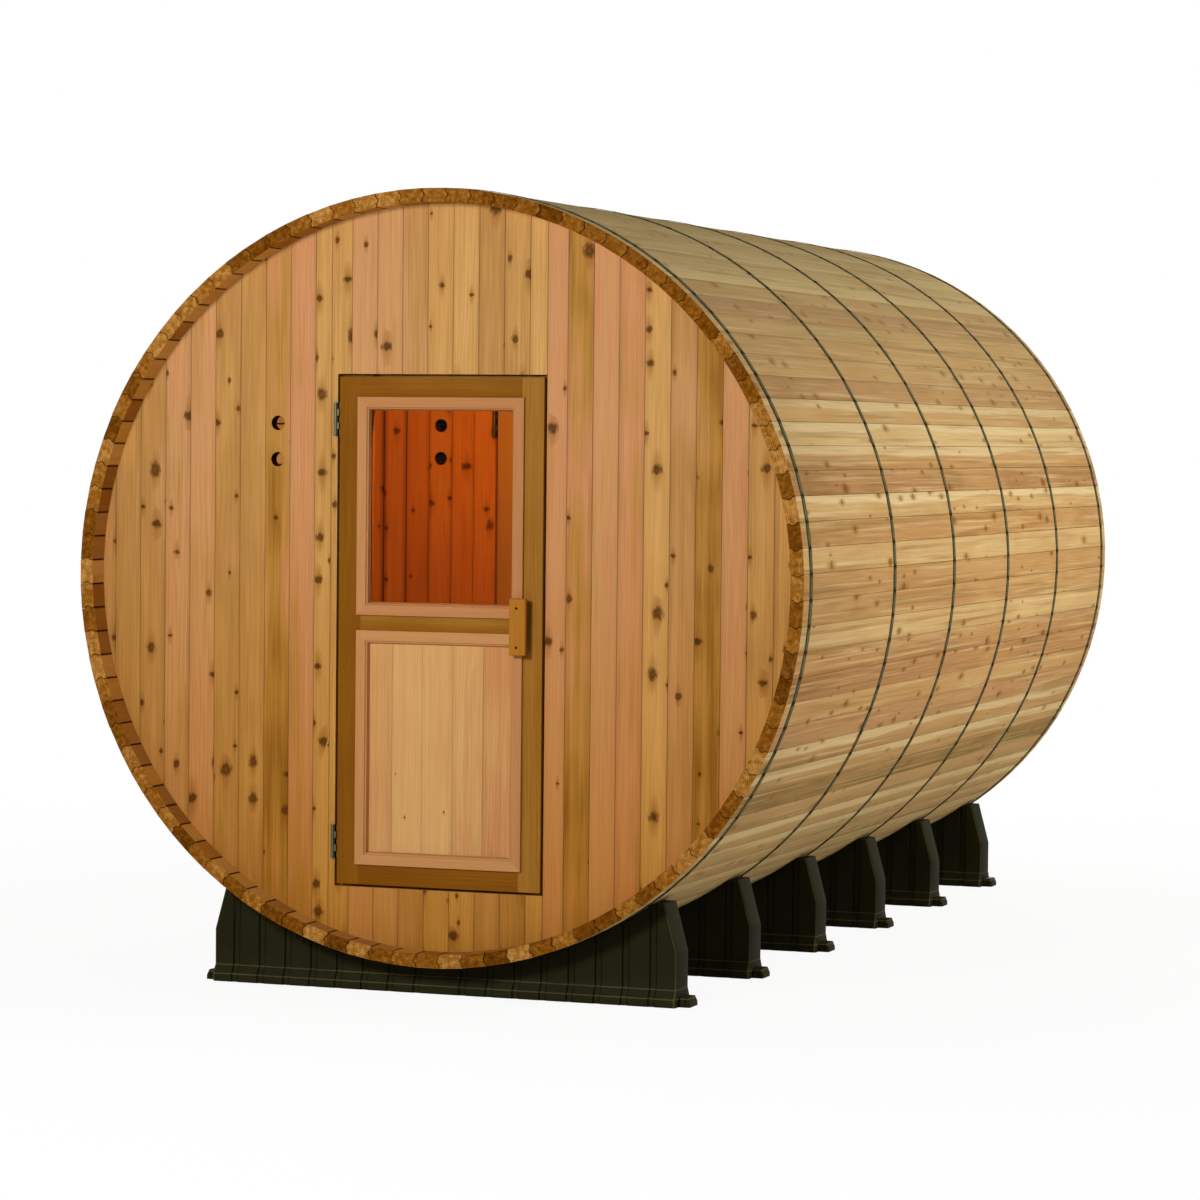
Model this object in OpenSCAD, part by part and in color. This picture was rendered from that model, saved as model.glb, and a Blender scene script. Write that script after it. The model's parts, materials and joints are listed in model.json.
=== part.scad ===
// Barrel sauna with a changing room at the front.
// Cedar staves with bead-and-cove edges stand in a ring and are drawn together by steel hoops.
// Two end walls and a partition sit in grooves cut inside the staves, and black moulded
// cradles carry the barrel. X runs across, Y from the front end to the back, Z up from the ground.

/* [Barrel] */
// Outside diameter, across the flat faces of opposite staves
barrel_d = 2134; // [1900:2:2400]
// Length of the staves
barrel_len = 3545; // [3200:5:4200]
// Number of staves in the ring, in whole eighths
stave_count = 96; // [80:8:112]
// Thickness of a stave
stave_t = 38; // [32:1:46]
// Radius of the bead along one edge of a stave
bead_r = 12; // [9:0.5:14]
// How far the bead stands out of its edge
bead_out = 6; // [3:0.5:8]
// Bevel on the two outer edges of a stave
stave_ease = 1.5; // [0.5:0.25:3]
// Height of the barrel's lowest stave above the ground
belly_h = 83; // [60:1:120]

/* [Hoops] */
// Width of a hoop
hoop_w = 22; // [12:1:40]
// Thickness of a hoop
hoop_t = 1.6; // [1:0.1:4]
// Front hoop's centre, behind the barrel's front end
front_hoop_in = 62; // [30:1:80]
// Every other hoop's centre, behind the centre of its cradle
hoop_behind_cradle = 75; // [70:1:110]
// Angle of a hoop's draw bolt, to the left of the barrel's lowest point
draw_angle = 22; // [0:1:45]
// Space between a hoop's two folded ends
draw_gap = 18; // [10:1:30]
// Height of a folded end
draw_ear_h = 26; // [20:1:30]
// Diameter of the draw bolt
draw_bolt_d = 8; // [6:1:10]
// Length of the draw bolt
draw_bolt_len = 62; // [60:1:90]

/* [Cradles] */
// Number of cradles, with one hoop for each
cradle_count = 6; // [6:1:6]
// First cradle's centre, behind the barrel's front end
cradle_first = 150; // [140:1:200]
// Last cradle's centre, ahead of the barrel's back end
cradle_last = 135; // [130:1:200]
// Half the length of a cradle between its upright ends
cradle_half = 689; // [660:1:720]
// Thickness of a cradle
cradle_t = 100; // [80:1:120]
// Height of a cradle's ears
ear_h = 281; // [240:1:300]
// How far an ear's outer edge leans in at the top
ear_lean = 36; // [10:1:40]
// Height at which an ear's edge starts to lean in
ear_knee_h = 147; // [100:1:200]
// Height at which the plinth's slope starts
plinth_h = 47; // [35:1:70]
// Height of the plinth's upright foot
plinth_foot_h = 23; // [15:1:30]
// How far the plinth stands out of each face
plinth_out = 15; // [5:1:25]
// Length of the toe at each end
toe_len = 33; // [20:1:50]
// Width of a toe
toe_w = 70; // [50:1:90]
// Height of a toe
toe_h = 27; // [20:1:34]
// Bevel round the top of a toe
toe_bevel = 6; // [2:1:10]
// Width of an upright groove in a cradle's face
groove_w = 18; // [8:1:30]
// Depth of an upright groove
groove_d = 5; // [2:0.5:8]
// Distance between neighbouring grooves
groove_pitch = 79; // [70:1:82]
// Innermost groove's centre, from the middle of the cradle
groove_first = 68; // [40:1:80]
// Grooves in each half of a face
groove_count = 8; // [4:1:8]

/* [Walls] */
// Thickness of the end walls and the partition
wall_t = 38; // [30:1:45]
// How far the end walls stand back from the ends of the staves
wall_recess = 70; // [60:1:100]
// Depth of the groove in the staves that holds a wall
croze_d = 8; // [4:1:12]
// Clear depth of the changing room, between front wall and partition
changing_room_len = 1162; // [1000:1:1400]
// Diameter of a vent hole
vent_d = 40; // [25:1:50]
// Vent holes' centre, to the left of the doorway
vent_out = 181.5; // [130:0.5:250]
// Upper vent hole's centre, below the top of the doors
vent_drop = 130; // [80:1:300]
// Distance between the two vent holes
vent_pitch = 101; // [80:1:140]
// Width of a wall board
board_w = 75; // [65:1:85]

/* [Doors] */
// Width of a doorway
doorway_w = 619; // [560:1:640]
// Height of a doorway
doorway_h = 1422; // [1380:1:1460]
// Bottom of a doorway, above the inside of the lowest stave
sill_h = 168; // [150:1:190]
// Gap round a door
door_gap = 7; // [6:0.5:9]
// Thickness of a door
door_t = 35; // [30:1:36]
// How far a door's face stands proud of its wall
door_proud = 2; // [1:0.5:4]
// Width of the stiles and of the top and bottom rails
stile_w = 66; // [55:1:80]
// Width of the middle rail
lock_rail_w = 62; // [50:1:90]
// Height of the opening for the glass, between its rails
glass_opening_h = 583; // [450:1:620]
// Thickness of the glass
glass_t = 6; // [4:0.5:10]
// Thickness of the lower panel
panel_t = 12; // [8:0.5:16]
// Depth of the glass and the panel behind the door's face
infill_in = 8; // [4:0.5:10]
// Width of the moulding round glass and panel
moulding_w = 33; // [25:1:40]
// How far the moulding laps onto stiles and rails
moulding_lap = 10; // [6:1:14]
// How far the moulding stands proud of the door
moulding_proud = 8; // [5:1:12]
// Bevel along the moulding's inner edge
moulding_bevel = 5; // [2:0.5:6]
// Width of the stop behind a door's edge
stop_w = 45; // [35:1:60]
// Thickness of the stop
stop_t = 20; // [12:1:25]
// How far a stop reaches behind the door
stop_lap = 12; // [8:1:20]

/* [Handles] */
// Width of a handle's grip
grip_w = 49; // [40:1:60]
// Length of a handle's grip
grip_h = 155; // [120:1:200]
// Thickness of a handle's grip
grip_t = 17; // [12:1:24]
// Rounding of the grip's long edges
grip_round = 5; // [2:0.5:6]
// Left edge of the grip, in from the door's right edge
grip_in = 83.5; // [79:0.5:86]
// Width of the spacer between grip and moulding
spacer_w = 22; // [16:1:24]
// Thickness of that spacer
spacer_t = 14; // [8:1:20]

/* [Hinges] */
// Length of a hinge
hinge_h = 92; // [70:1:120]
// Outside diameter of a hinge's knuckles
knuckle_d = 10; // [9:0.5:12]
// Diameter of a hinge's pin
pin_d = 5; // [4:0.5:6]
// How far the pin stands to the left of the doorway
pin_out = 3.5; // [3:0.5:6]
// Room between the knuckles and the wall's face
knuckle_clear = 3; // [2:0.5:5]
// Thickness of a hinge's leaves
leaf_t = 2; // [1.5:0.25:2]
// Depth of a hinge's leaves along the edge of the door
leaf_w = 28; // [15:1:30]
// Hinges' middles, from the top and from the bottom of the door
hinge_in = 118; // [80:1:200]

/* [Floor] */
// Top of the floor, below the bottom of the doorways
floor_step = 20; // [10:1:30]
// Width of a floor slat
slat_w = 88; // [60:1:90]
// Thickness of a floor slat
slat_t = 22; // [16:1:30]
// Distance between the middles of neighbouring slats
slat_pitch = 100; // [95:1:105]
// Thickness of a curved bearer under the slats
bearer_t = 38; // [25:1:60]
// Bearers under the changing room's floor
changing_bearers = 3; // [2:1:4]
// Bearers under the hot room's floor
hot_bearers = 4; // [3:1:6]

/* [Hidden] */
// Gap at a close joint between pieces, and at a seat
joint_gap = 0.4;
seat_gap = 0.3;
// Room around a pin in its knuckle, and between neighbouring knuckles
pin_gap = 0.1;
knuckle_gap = 0.6;
// Room round a floor
floor_gap = 5;
// Overreach of a cutting shape past the face that it cuts
cut = 1;
// Steps round a small circle, and round one as wide as the barrel
$fn = 96;
wide_fn = 360;

barrel_r = barrel_d / 2;
inner_r = barrel_r - stave_t;
half_angle = 180 / stave_count;
octant = stave_count / 8;
// Circle round the outer corners of the staves
corner_r = barrel_r / cos(half_angle);
axis_h = belly_h + barrel_r;

front_y = -barrel_len / 2;
front_wall_y = front_y + wall_recess;
partition_y = front_wall_y + wall_t + changing_room_len;
back_wall_y = barrel_len / 2 - wall_recess - wall_t;
wall_r = inner_r + croze_d - seat_gap;
doorway_drop = inner_r - sill_h;
doorway_top = doorway_h - doorway_drop;
door_w = doorway_w - 2 * door_gap;
door_h = doorway_h - 2 * door_gap;
door_bottom = door_gap - doorway_drop;
door_top = door_bottom + door_h;
vent_x = doorway_w / 2 + vent_out;
vent_board_x = -vent_x - board_w / 2;
vent_z = door_top - vent_drop;

cradle_pitch = (barrel_len - cradle_first - cradle_last) / (cradle_count - 1);
function cradle_y(i) = front_y + cradle_first + i * cradle_pitch;
function hoop_y(i) = i == 0 ? front_y + front_hoop_in : cradle_y(i) + hoop_behind_cradle;

// Turns a drawing of X and Z into a solid from y, thick towards the back.
module upright(y, thick) {
    translate([0, y + thick, 0]) rotate([90, 0, 0]) linear_extrude(thick) children();
}

// Box given by its lowest corner and its highest corner.
module block(low, high) {
    translate(low) cube(high - low);
}

/* Staves */

function stave_half(r) = r * tan(half_angle) - joint_gap / 2 / cos(half_angle);

// Section of the stave at the top of the ring, with the bead on its right.
module stave_section() {
    bead_in = bead_r - bead_out + joint_gap / 2;
    middle_r = barrel_r - stave_t / 2;
    eased_r = barrel_r - stave_ease;
    difference() {
        union() {
            polygon([
                [-stave_half(inner_r), inner_r],
                [stave_half(inner_r), inner_r],
                [stave_half(eased_r), eased_r],
                [stave_half(barrel_r) - stave_ease, barrel_r],
                [stave_ease - stave_half(barrel_r), barrel_r],
                [-stave_half(eased_r), eased_r]
            ]);
            rotate(-half_angle) translate([-bead_in, middle_r]) circle(bead_r);
        }
        rotate(half_angle) translate([-bead_in, middle_r]) circle(bead_r + joint_gap);
    }
}

// Groove that a wall at y sits in, as the disc that cuts it.
module croze(y) {
    upright(y - seat_gap, wall_t + 2 * seat_gap) circle(inner_r + croze_d, $fn = wide_fn);
}

// One eighth of the ring of staves, around the given angle from the right.
module stave_octant(angle) {
    color("burlywood") translate([0, 0, axis_h]) difference() {
        for (i = [0 : octant - 1])
            upright(front_y, barrel_len)
                rotate(angle - 90 + (i - octant / 2) * 2 * half_angle) stave_section();
        croze(front_wall_y);
        croze(partition_y);
        croze(back_wall_y);
    }
}

module staves_right() { stave_octant(0); }
module staves_upper_right() { stave_octant(45); }
module staves_top() { stave_octant(90); }
module staves_upper_left() { stave_octant(135); }
module staves_left() { stave_octant(180); }
module staves_lower_left() { stave_octant(225); }
module staves_bottom() { stave_octant(270); }
module staves_lower_right() { stave_octant(315); }

/* Hoops */

hoop_r = corner_r + seat_gap;
// A hoop's ends are folded back on themselves, so they are twice as thick
draw_ear_t = 2 * hoop_t;
draw_bolt_r = hoop_r + draw_ear_h / 2;

// Strip round the staves, left open at the bottom.
module hoop_strip() {
    upright(-hoop_w / 2, hoop_w) difference() {
        circle(hoop_r + hoop_t, $fn = wide_fn);
        circle(hoop_r, $fn = wide_fn);
        translate([-draw_gap / 2, -2 * hoop_r]) square([draw_gap, 2 * hoop_r]);
    }
}

// Folded ends of the strip and the bolt that draws them together, with its head and nut.
module hoop_draw() {
    hex_d = 1.9 * draw_bolt_d;
    hex_h = 0.8 * draw_bolt_d;
    ear_out = draw_gap / 2 + draw_ear_t;
    for (side = [0, 1]) mirror([side, 0, 0]) {
        block([draw_gap / 2, -hoop_w / 2, -hoop_r - draw_ear_h],
            [ear_out, hoop_w / 2, -hoop_r - hoop_t / 2]);
        translate([ear_out, 0, -draw_bolt_r]) rotate([0, 90, 0]) cylinder(d = hex_d, h = hex_h, $fn = 6);
    }
    translate([-ear_out - hex_h, 0, -draw_bolt_r]) rotate([0, 90, 0])
        cylinder(d = draw_bolt_d, h = draw_bolt_len);
}

module hoops() {
    color("dimgray") for (i = [0 : cradle_count - 1])
        translate([0, hoop_y(i), axis_h]) rotate([0, draw_angle, 0]) {
            hoop_strip();
            hoop_draw();
        }
}

/* Cradles */

// Outline of a cradle seen from the front, before the barrel's seat is cut.
module cradle_outline() {
    ear_half = cradle_half - ear_lean;
    polygon([
        [-cradle_half, 0], [cradle_half, 0],
        [cradle_half, ear_knee_h], [ear_half, ear_h],
        [-ear_half, ear_h], [-cradle_half, ear_knee_h]
    ]);
}

// Half section of a cradle's face and plinth, at a depth below their surface.
function face_line(depth) = [
    [cradle_t / 2 - depth, ear_h + cut],
    [cradle_t / 2 - depth, plinth_h],
    [cradle_t / 2 + plinth_out - depth, plinth_foot_h],
    [cradle_t / 2 + plinth_out - depth, -cut]
];

module along_x(length) {
    translate([-length / 2, 0, 0]) rotate([90, 0, 90]) linear_extrude(length) children();
}

module cradle_groove() {
    past = cradle_t / 2 + plinth_out + cut;
    for (side = [0, 1]) mirror([0, side, 0])
        along_x(groove_w) polygon(concat(face_line(groove_d), [[past, -cut], [past, ear_h + cut]]));
}

module toe() {
    along_x(2 * (cradle_half + toe_len)) polygon([
        [-toe_w / 2, 0], [toe_w / 2, 0], [toe_w / 2, toe_h - toe_bevel],
        [toe_w / 2 - toe_bevel, toe_h], [toe_bevel - toe_w / 2, toe_h], [-toe_w / 2, toe_h - toe_bevel]
    ]);
}

module plinth() {
    half = cradle_t / 2;
    along_x(2 * cradle_half) polygon([
        [-half - plinth_out, 0], [half + plinth_out, 0], [half + plinth_out, plinth_foot_h],
        [half, plinth_h], [-half, plinth_h], [-half - plinth_out, plinth_foot_h]
    ]);
}

module cradle(i) {
    color([0.11, 0.12, 0.1]) translate([0, cradle_y(i), 0]) difference() {
        union() {
            upright(-cradle_t / 2, cradle_t) cradle_outline();
            plinth();
            toe();
        }
        for (side = [-1, 1], k = [0 : groove_count - 1])
            translate([side * (groove_first + k * groove_pitch), 0, 0]) cradle_groove();
        translate([0, 0, axis_h]) upright(-cradle_t, 2 * cradle_t) circle(corner_r + seat_gap, $fn = wide_fn);
    }
}

module cradle_1() { cradle(0); }
module cradle_2() { cradle(1); }
module cradle_3() { cradle(2); }
module cradle_4() { cradle(3); }
module cradle_5() { cradle(4); }
module cradle_6() { cradle(5); }

/* Walls, drawn around the barrel's middle */

module wall_part(y) {
    color("peru") translate([0, 0, axis_h]) upright(y, wall_t) intersection() {
        circle(wall_r, $fn = wide_fn);
        children();
    }
}

// Tall drawing from x0 to x1 and z0 to z1, cut round by the wall's edge.
module span(x0, x1, z0 = -wall_r, z1 = wall_r) {
    translate([x0, z0]) square([x1 - x0, z1 - z0]);
}

module wall_left(y) {
    wall_part(y) {
        span(-wall_r, vent_board_x);
        span(vent_board_x + board_w, -doorway_w / 2);
    }
}

module wall_vent_board(y) {
    wall_part(y) difference() {
        span(vent_board_x, vent_board_x + board_w);
        for (k = [0, 1]) translate([-vent_x, vent_z - k * vent_pitch]) circle(d = vent_d);
    }
}

module wall_right(y) { wall_part(y) span(doorway_w / 2, wall_r); }
module wall_over_door(y) { wall_part(y) span(-doorway_w / 2, doorway_w / 2, doorway_top); }
module wall_under_door(y) { wall_part(y) span(-doorway_w / 2, doorway_w / 2, -wall_r, -doorway_drop); }

module front_wall_left() { wall_left(front_wall_y); }
module front_wall_vent_board() { wall_vent_board(front_wall_y); }
module front_wall_right() { wall_right(front_wall_y); }
module front_wall_over_door() { wall_over_door(front_wall_y); }
module front_wall_under_door() { wall_under_door(front_wall_y); }
module partition_left() { wall_left(partition_y); }
module partition_vent_board() { wall_vent_board(partition_y); }
module partition_right() { wall_right(partition_y); }
module partition_over_door() { wall_over_door(partition_y); }
module partition_under_door() { wall_under_door(partition_y); }
module back_wall() { wall_part(back_wall_y) span(-wall_r, wall_r); }

/* Doors, drawn with the wall's face at Y 0 and the barrel's middle at Z 0 */

module at_doorway(y) {
    translate([0, y, axis_h]) children();
}

door_back = door_t - door_proud;
opening_half = door_w / 2 - stile_w;
grip_x = door_w / 2 - grip_in;
glass_top = door_top - stile_w;
glass_bottom = glass_top - glass_opening_h;
panel_top = glass_bottom - lock_rail_w;
panel_bottom = door_bottom + stile_w;
infill_y = infill_in - door_proud;

// Strips on the wall's back face that the door closes against.
module door_stop() {
    reach = door_gap + stop_lap;
    inner = doorway_w / 2 - reach;
    outer = inner + stop_w;
    low = reach - doorway_drop;
    high = doorway_top - reach;
    color("peru") {
        for (side = [0, 1]) mirror([side, 0, 0])
            block([inner, wall_t, low - stop_w], [outer, wall_t + stop_t, high + stop_w]);
        block([joint_gap - inner, wall_t, high], [inner - joint_gap, wall_t + stop_t, high + stop_w]);
        block([joint_gap - inner, wall_t, low - stop_w], [inner - joint_gap, wall_t + stop_t, low]);
    }
}

module door_stiles() {
    color("saddlebrown") for (side = [0, 1]) mirror([side, 0, 0])
        block([opening_half, -door_proud, door_bottom], [door_w / 2, door_back, door_top]);
}

module rail(low, high) {
    block([-opening_half, -door_proud, low], [opening_half, door_back, high]);
}

module door_rails() {
    color("saddlebrown") {
        rail(glass_top, door_top);
        rail(panel_top, glass_bottom);
        rail(door_bottom, panel_bottom);
    }
}

module infill(low, high, thick) {
    block([joint_gap - opening_half, infill_y, low + joint_gap],
        [opening_half - joint_gap, infill_y + thick, high - joint_gap]);
}

module door_glass() {
    color([0.75, 0.45, 0.25, 0.5]) infill(glass_bottom, glass_top, glass_t);
}

module door_panel() {
    color("tan") infill(panel_bottom, panel_top, panel_t);
}

// Frame between two sizes of the opening from low to high, as a drawing of X and Z.
module frame_drawing(low, high, out, in) {
    difference() {
        span(-opening_half - out, opening_half + out, low - out, high + out);
        span(in - opening_half, opening_half - in, low + in, high - in);
    }
}

// Moulding on one face: a lip that laps the frame, a tongue that reaches back to the infill
// and a bevel along the inner edge. The face is at y, and the tongue is deep.
module moulding(low, high, deep) {
    in = moulding_w - moulding_lap;
    difference() {
        union() {
            upright(-moulding_proud, moulding_proud) frame_drawing(low, high, moulding_lap, in);
            upright(-cut, deep + cut) frame_drawing(low, high, 0, in);
        }
        for (z = [low + in, high - in]) translate([0, -moulding_proud, z])
            along_x(2 * (opening_half - in)) bevel_section();
        for (x = [in - opening_half, opening_half - in]) translate([x, -moulding_proud, low + in])
            linear_extrude(high - low - 2 * in) bevel_section();
    }
}

// Diamond that cuts a bevel along an edge at its middle.
module bevel_section() {
    rotate(45) square(moulding_bevel * sqrt(2), center = true);
}

module door_mouldings() {
    color("burlywood") {
        for (z = [[glass_bottom, glass_top, glass_t], [panel_bottom, panel_top, panel_t]]) {
            translate([0, -door_proud, 0]) moulding(z[0], z[1], infill_in);
            translate([0, door_back, 0]) mirror([0, 1, 0])
                moulding(z[0], z[1], door_t - infill_in - z[2]);
        }
    }
}

// Pull handle on the moulding, as an upright section: a spacer and a wider grip with rounded
// edges, with finger room to the right of the spacer.
module pull(y) {
    back = -moulding_proud - spacer_t;
    translate([0, y, (glass_bottom + panel_top - grip_h) / 2]) linear_extrude(grip_h) {
        translate([grip_x, back - grip_round]) square([spacer_w, spacer_t + grip_round]);
        translate([grip_x + grip_round, back - grip_t]) square([grip_w - 2 * grip_round, grip_t]);
        translate([grip_x, back - grip_t + grip_round]) square([grip_w, grip_t - 2 * grip_round]);
        for (x = [grip_x + grip_round, grip_x + grip_w - grip_round], z = [back - grip_t + grip_round, back - grip_round])
            translate([x, z]) circle(grip_round);
    }
}

module door_handle() {
    color("sienna") {
        pull(-door_proud);
        mirror([0, 1, 0]) pull(-door_back);
    }
}

/* Hinges, drawn around the pin at the left of the doorway */

pin_x = -doorway_w / 2 - pin_out;
pin_y = -knuckle_d / 2 - knuckle_clear;
hinge_knuckles = 5;
knuckle_h = hinge_h / hinge_knuckles;
hinge_zs = [door_top - hinge_in, door_bottom + hinge_in];

// Knuckle k from the bottom, with what ties it to its leaf.
module knuckle(z, k, bore) {
    low = z - hinge_h / 2 + k * knuckle_h + (k == 0 ? 0 : knuckle_gap / 2);
    high = z - hinge_h / 2 + (k + 1) * knuckle_h - (k == hinge_knuckles - 1 ? 0 : knuckle_gap / 2);
    difference() {
        union() {
            translate([pin_x, pin_y, low]) cylinder(d = knuckle_d, h = high - low);
            translate([0, 0, low]) linear_extrude(high - low) children();
        }
        translate([pin_x, pin_y, low - cut]) cylinder(d = bore, h = high - low + 2 * cut);
    }
}

// Leaves on the wall's edge, with the pin and the outer and middle knuckles.
module jamb_hinges() {
    edge = -doorway_w / 2;
    color("silver") for (z = hinge_zs) {
        for (k = [0, 2, 4]) knuckle(z, k, pin_d)
            translate([edge, pin_y]) square([leaf_t, -pin_y + leaf_t]);
        block([edge, 0, z - hinge_h / 2], [edge + leaf_t, leaf_w, z + hinge_h / 2]);
        translate([pin_x, pin_y, z - hinge_h / 2]) cylinder(d = pin_d, h = hinge_h);
    }
}

// Leaves on the door's edge, with the two knuckles between.
module door_hinges() {
    edge = -door_w / 2;
    color("silver") for (z = hinge_zs) {
        for (k = [1, 3]) knuckle(z, k, pin_d + 2 * pin_gap) {
            translate([pin_x, pin_y - leaf_t / 2]) square([edge - pin_x, leaf_t]);
            translate([edge - leaf_t, pin_y - leaf_t / 2]) square([leaf_t, -pin_y + leaf_t]);
        }
        block([edge - leaf_t, 0, z - hinge_h / 2], [edge, leaf_w, z + hinge_h / 2]);
    }
}

module front_door_stop() { at_doorway(front_wall_y) door_stop(); }
module front_jamb_hinges() { at_doorway(front_wall_y) jamb_hinges(); }
module front_door_stiles() { at_doorway(front_wall_y) door_stiles(); }
module front_door_rails() { at_doorway(front_wall_y) door_rails(); }
module front_door_glass() { at_doorway(front_wall_y) door_glass(); }
module front_door_panel() { at_doorway(front_wall_y) door_panel(); }
module front_door_mouldings() { at_doorway(front_wall_y) door_mouldings(); }
module front_door_handle() { at_doorway(front_wall_y) door_handle(); }
module front_door_hinges() { at_doorway(front_wall_y) door_hinges(); }
module inner_door_stop() { at_doorway(partition_y) door_stop(); }
module inner_jamb_hinges() { at_doorway(partition_y) jamb_hinges(); }
module inner_door_stiles() { at_doorway(partition_y) door_stiles(); }
module inner_door_rails() { at_doorway(partition_y) door_rails(); }
module inner_door_glass() { at_doorway(partition_y) door_glass(); }
module inner_door_panel() { at_doorway(partition_y) door_panel(); }
module inner_door_mouldings() { at_doorway(partition_y) door_mouldings(); }
module inner_door_handle() { at_doorway(partition_y) door_handle(); }
module inner_door_hinges() { at_doorway(partition_y) door_hinges(); }

/* Floors: lengthwise slats on bearers that are cut to the curve of the staves */

// Floor from y0 to y1, drawn with the underside of its slats at Z 0.
module duckboard(y0, y1, bearers) {
    under = doorway_drop + floor_step + slat_t;
    bearer_r = inner_r - seat_gap;
    chord_half = sqrt(pow(bearer_r, 2) - pow(under, 2));
    side_slats = floor((chord_half - floor_gap - slat_w / 2) / slat_pitch);
    half = side_slats * slat_pitch + slat_w / 2;
    bearer_pitch = (y1 - y0 - bearer_t) / (bearers - 1);
    color("tan") translate([0, 0, axis_h - under]) {
        for (i = [-side_slats : side_slats])
            block([i * slat_pitch - slat_w / 2, y0, 0], [i * slat_pitch + slat_w / 2, y1, slat_t]);
        for (i = [0 : bearers - 1]) upright(y0 + i * bearer_pitch, bearer_t) intersection() {
            translate([0, under]) circle(bearer_r, $fn = wide_fn);
            span(-half, half, under - inner_r, 0);
        }
    }
}

module changing_room_floor() {
    duckboard(front_wall_y + wall_t + stop_t + floor_gap, partition_y - floor_gap, changing_bearers);
}

module hot_room_floor() {
    duckboard(partition_y + wall_t + stop_t + floor_gap, back_wall_y - floor_gap, hot_bearers);
}

staves_right();
staves_upper_right();
staves_top();
staves_upper_left();
staves_left();
staves_lower_left();
staves_bottom();
staves_lower_right();
hoops();
cradle_1();
cradle_2();
cradle_3();
cradle_4();
cradle_5();
cradle_6();
front_wall_left();
front_wall_vent_board();
front_wall_right();
front_wall_over_door();
front_wall_under_door();
partition_left();
partition_vent_board();
partition_right();
partition_over_door();
partition_under_door();
back_wall();
front_door_stop();
front_jamb_hinges();
front_door_stiles();
front_door_rails();
front_door_glass();
front_door_panel();
front_door_mouldings();
front_door_handle();
front_door_hinges();
inner_door_stop();
inner_jamb_hinges();
inner_door_stiles();
inner_door_rails();
inner_door_glass();
inner_door_panel();
inner_door_mouldings();
inner_door_handle();
inner_door_hinges();
changing_room_floor();
hot_room_floor();
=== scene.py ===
"""Barrel sauna of cedar staves on moulded cradles: its looks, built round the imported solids."""
import json
from functools import partial

import bpy
import numpy as np
from mathutils import Matrix, Vector

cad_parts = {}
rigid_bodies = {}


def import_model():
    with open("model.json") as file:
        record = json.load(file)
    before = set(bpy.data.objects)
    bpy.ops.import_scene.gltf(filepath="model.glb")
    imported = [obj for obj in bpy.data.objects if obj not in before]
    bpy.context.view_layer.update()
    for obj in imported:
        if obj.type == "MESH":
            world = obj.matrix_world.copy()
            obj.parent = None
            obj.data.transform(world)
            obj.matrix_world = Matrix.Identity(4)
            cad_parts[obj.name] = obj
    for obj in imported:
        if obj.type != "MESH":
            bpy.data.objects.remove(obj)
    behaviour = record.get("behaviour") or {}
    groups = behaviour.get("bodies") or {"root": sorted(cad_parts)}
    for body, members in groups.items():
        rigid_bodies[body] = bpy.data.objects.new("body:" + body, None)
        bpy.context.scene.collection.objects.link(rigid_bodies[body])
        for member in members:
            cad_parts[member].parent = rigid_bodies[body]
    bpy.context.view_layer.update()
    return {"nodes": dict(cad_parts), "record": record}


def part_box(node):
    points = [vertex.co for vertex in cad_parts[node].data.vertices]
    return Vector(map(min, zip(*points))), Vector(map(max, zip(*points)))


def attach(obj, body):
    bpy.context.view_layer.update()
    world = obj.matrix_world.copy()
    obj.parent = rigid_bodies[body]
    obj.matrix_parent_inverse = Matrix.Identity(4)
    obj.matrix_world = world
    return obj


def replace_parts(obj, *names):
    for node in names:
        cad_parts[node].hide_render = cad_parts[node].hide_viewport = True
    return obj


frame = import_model()
scene = bpy.context.scene
scene.view_settings.view_transform = "Standard"
chance = np.random.default_rng(7)

# Camera: stands off to the right of the door end, a little above the barrel's middle,
# with a long lens that keeps the two round ends close in size.
yaw, pitch, roll = np.radians([19.95, -2.29, 0.57])
ahead = np.array([-np.sin(yaw) * np.cos(pitch), np.cos(yaw) * np.cos(pitch), np.sin(pitch)])
level = np.array([np.cos(yaw), np.sin(yaw), 0.0])
over = np.cross(level, ahead)
rightward = np.cos(roll) * level + np.sin(roll) * over
upward = np.cos(roll) * over - np.sin(roll) * level
camera_turn = Matrix(np.column_stack([rightward, upward, -ahead]).tolist()).to_4x4()
camera = bpy.data.objects.new("camera", bpy.data.cameras.new("camera"))
camera.data.sensor_width = 36.0
camera.data.lens = 121.476
camera.data.clip_end = 100.0
camera.matrix_world = Matrix.Translation((4.208, -12.0055, 1.5405)) @ camera_turn
scene.collection.objects.link(camera)
scene.camera = camera

# Cradles: hollow black polyethylene mouldings that stand on the ground. Each has two ears, a
# seat cut to the barrel's curve, upright grooves that stiffen its faces, a plinth and two toes.
MM = 0.001
barrel_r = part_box("staves_right")[1].x
axis_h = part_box("staves_bottom")[0].z + barrel_r
stave_count = 96
cradles = [f"cradle_{number}" for number in range(1, 7)]
cradle_half, cradle_t, ear_h, ear_lean = 689 * MM, 100 * MM, 281 * MM, 36 * MM
knee_h, ear_start = 147 * MM, 600 * MM
plinth_h, plinth_foot, plinth_out = 47 * MM, 23 * MM, 15 * MM
groove_first, groove_pitch, groove_half, groove_deep = 68 * MM, 79 * MM, 8 * MM, 3 * MM
groove_at = groove_first + groove_pitch * np.arange(8)
top_round, end_round = 5 * MM, 7 * MM
toe_root, toe_end, toe_half, toe_h, toe_cut = 660 * MM, 722 * MM, 35 * MM, 27 * MM, 6 * MM
seat_r = barrel_r / np.cos(np.pi / stave_count) + 0.3 * MM


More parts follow.
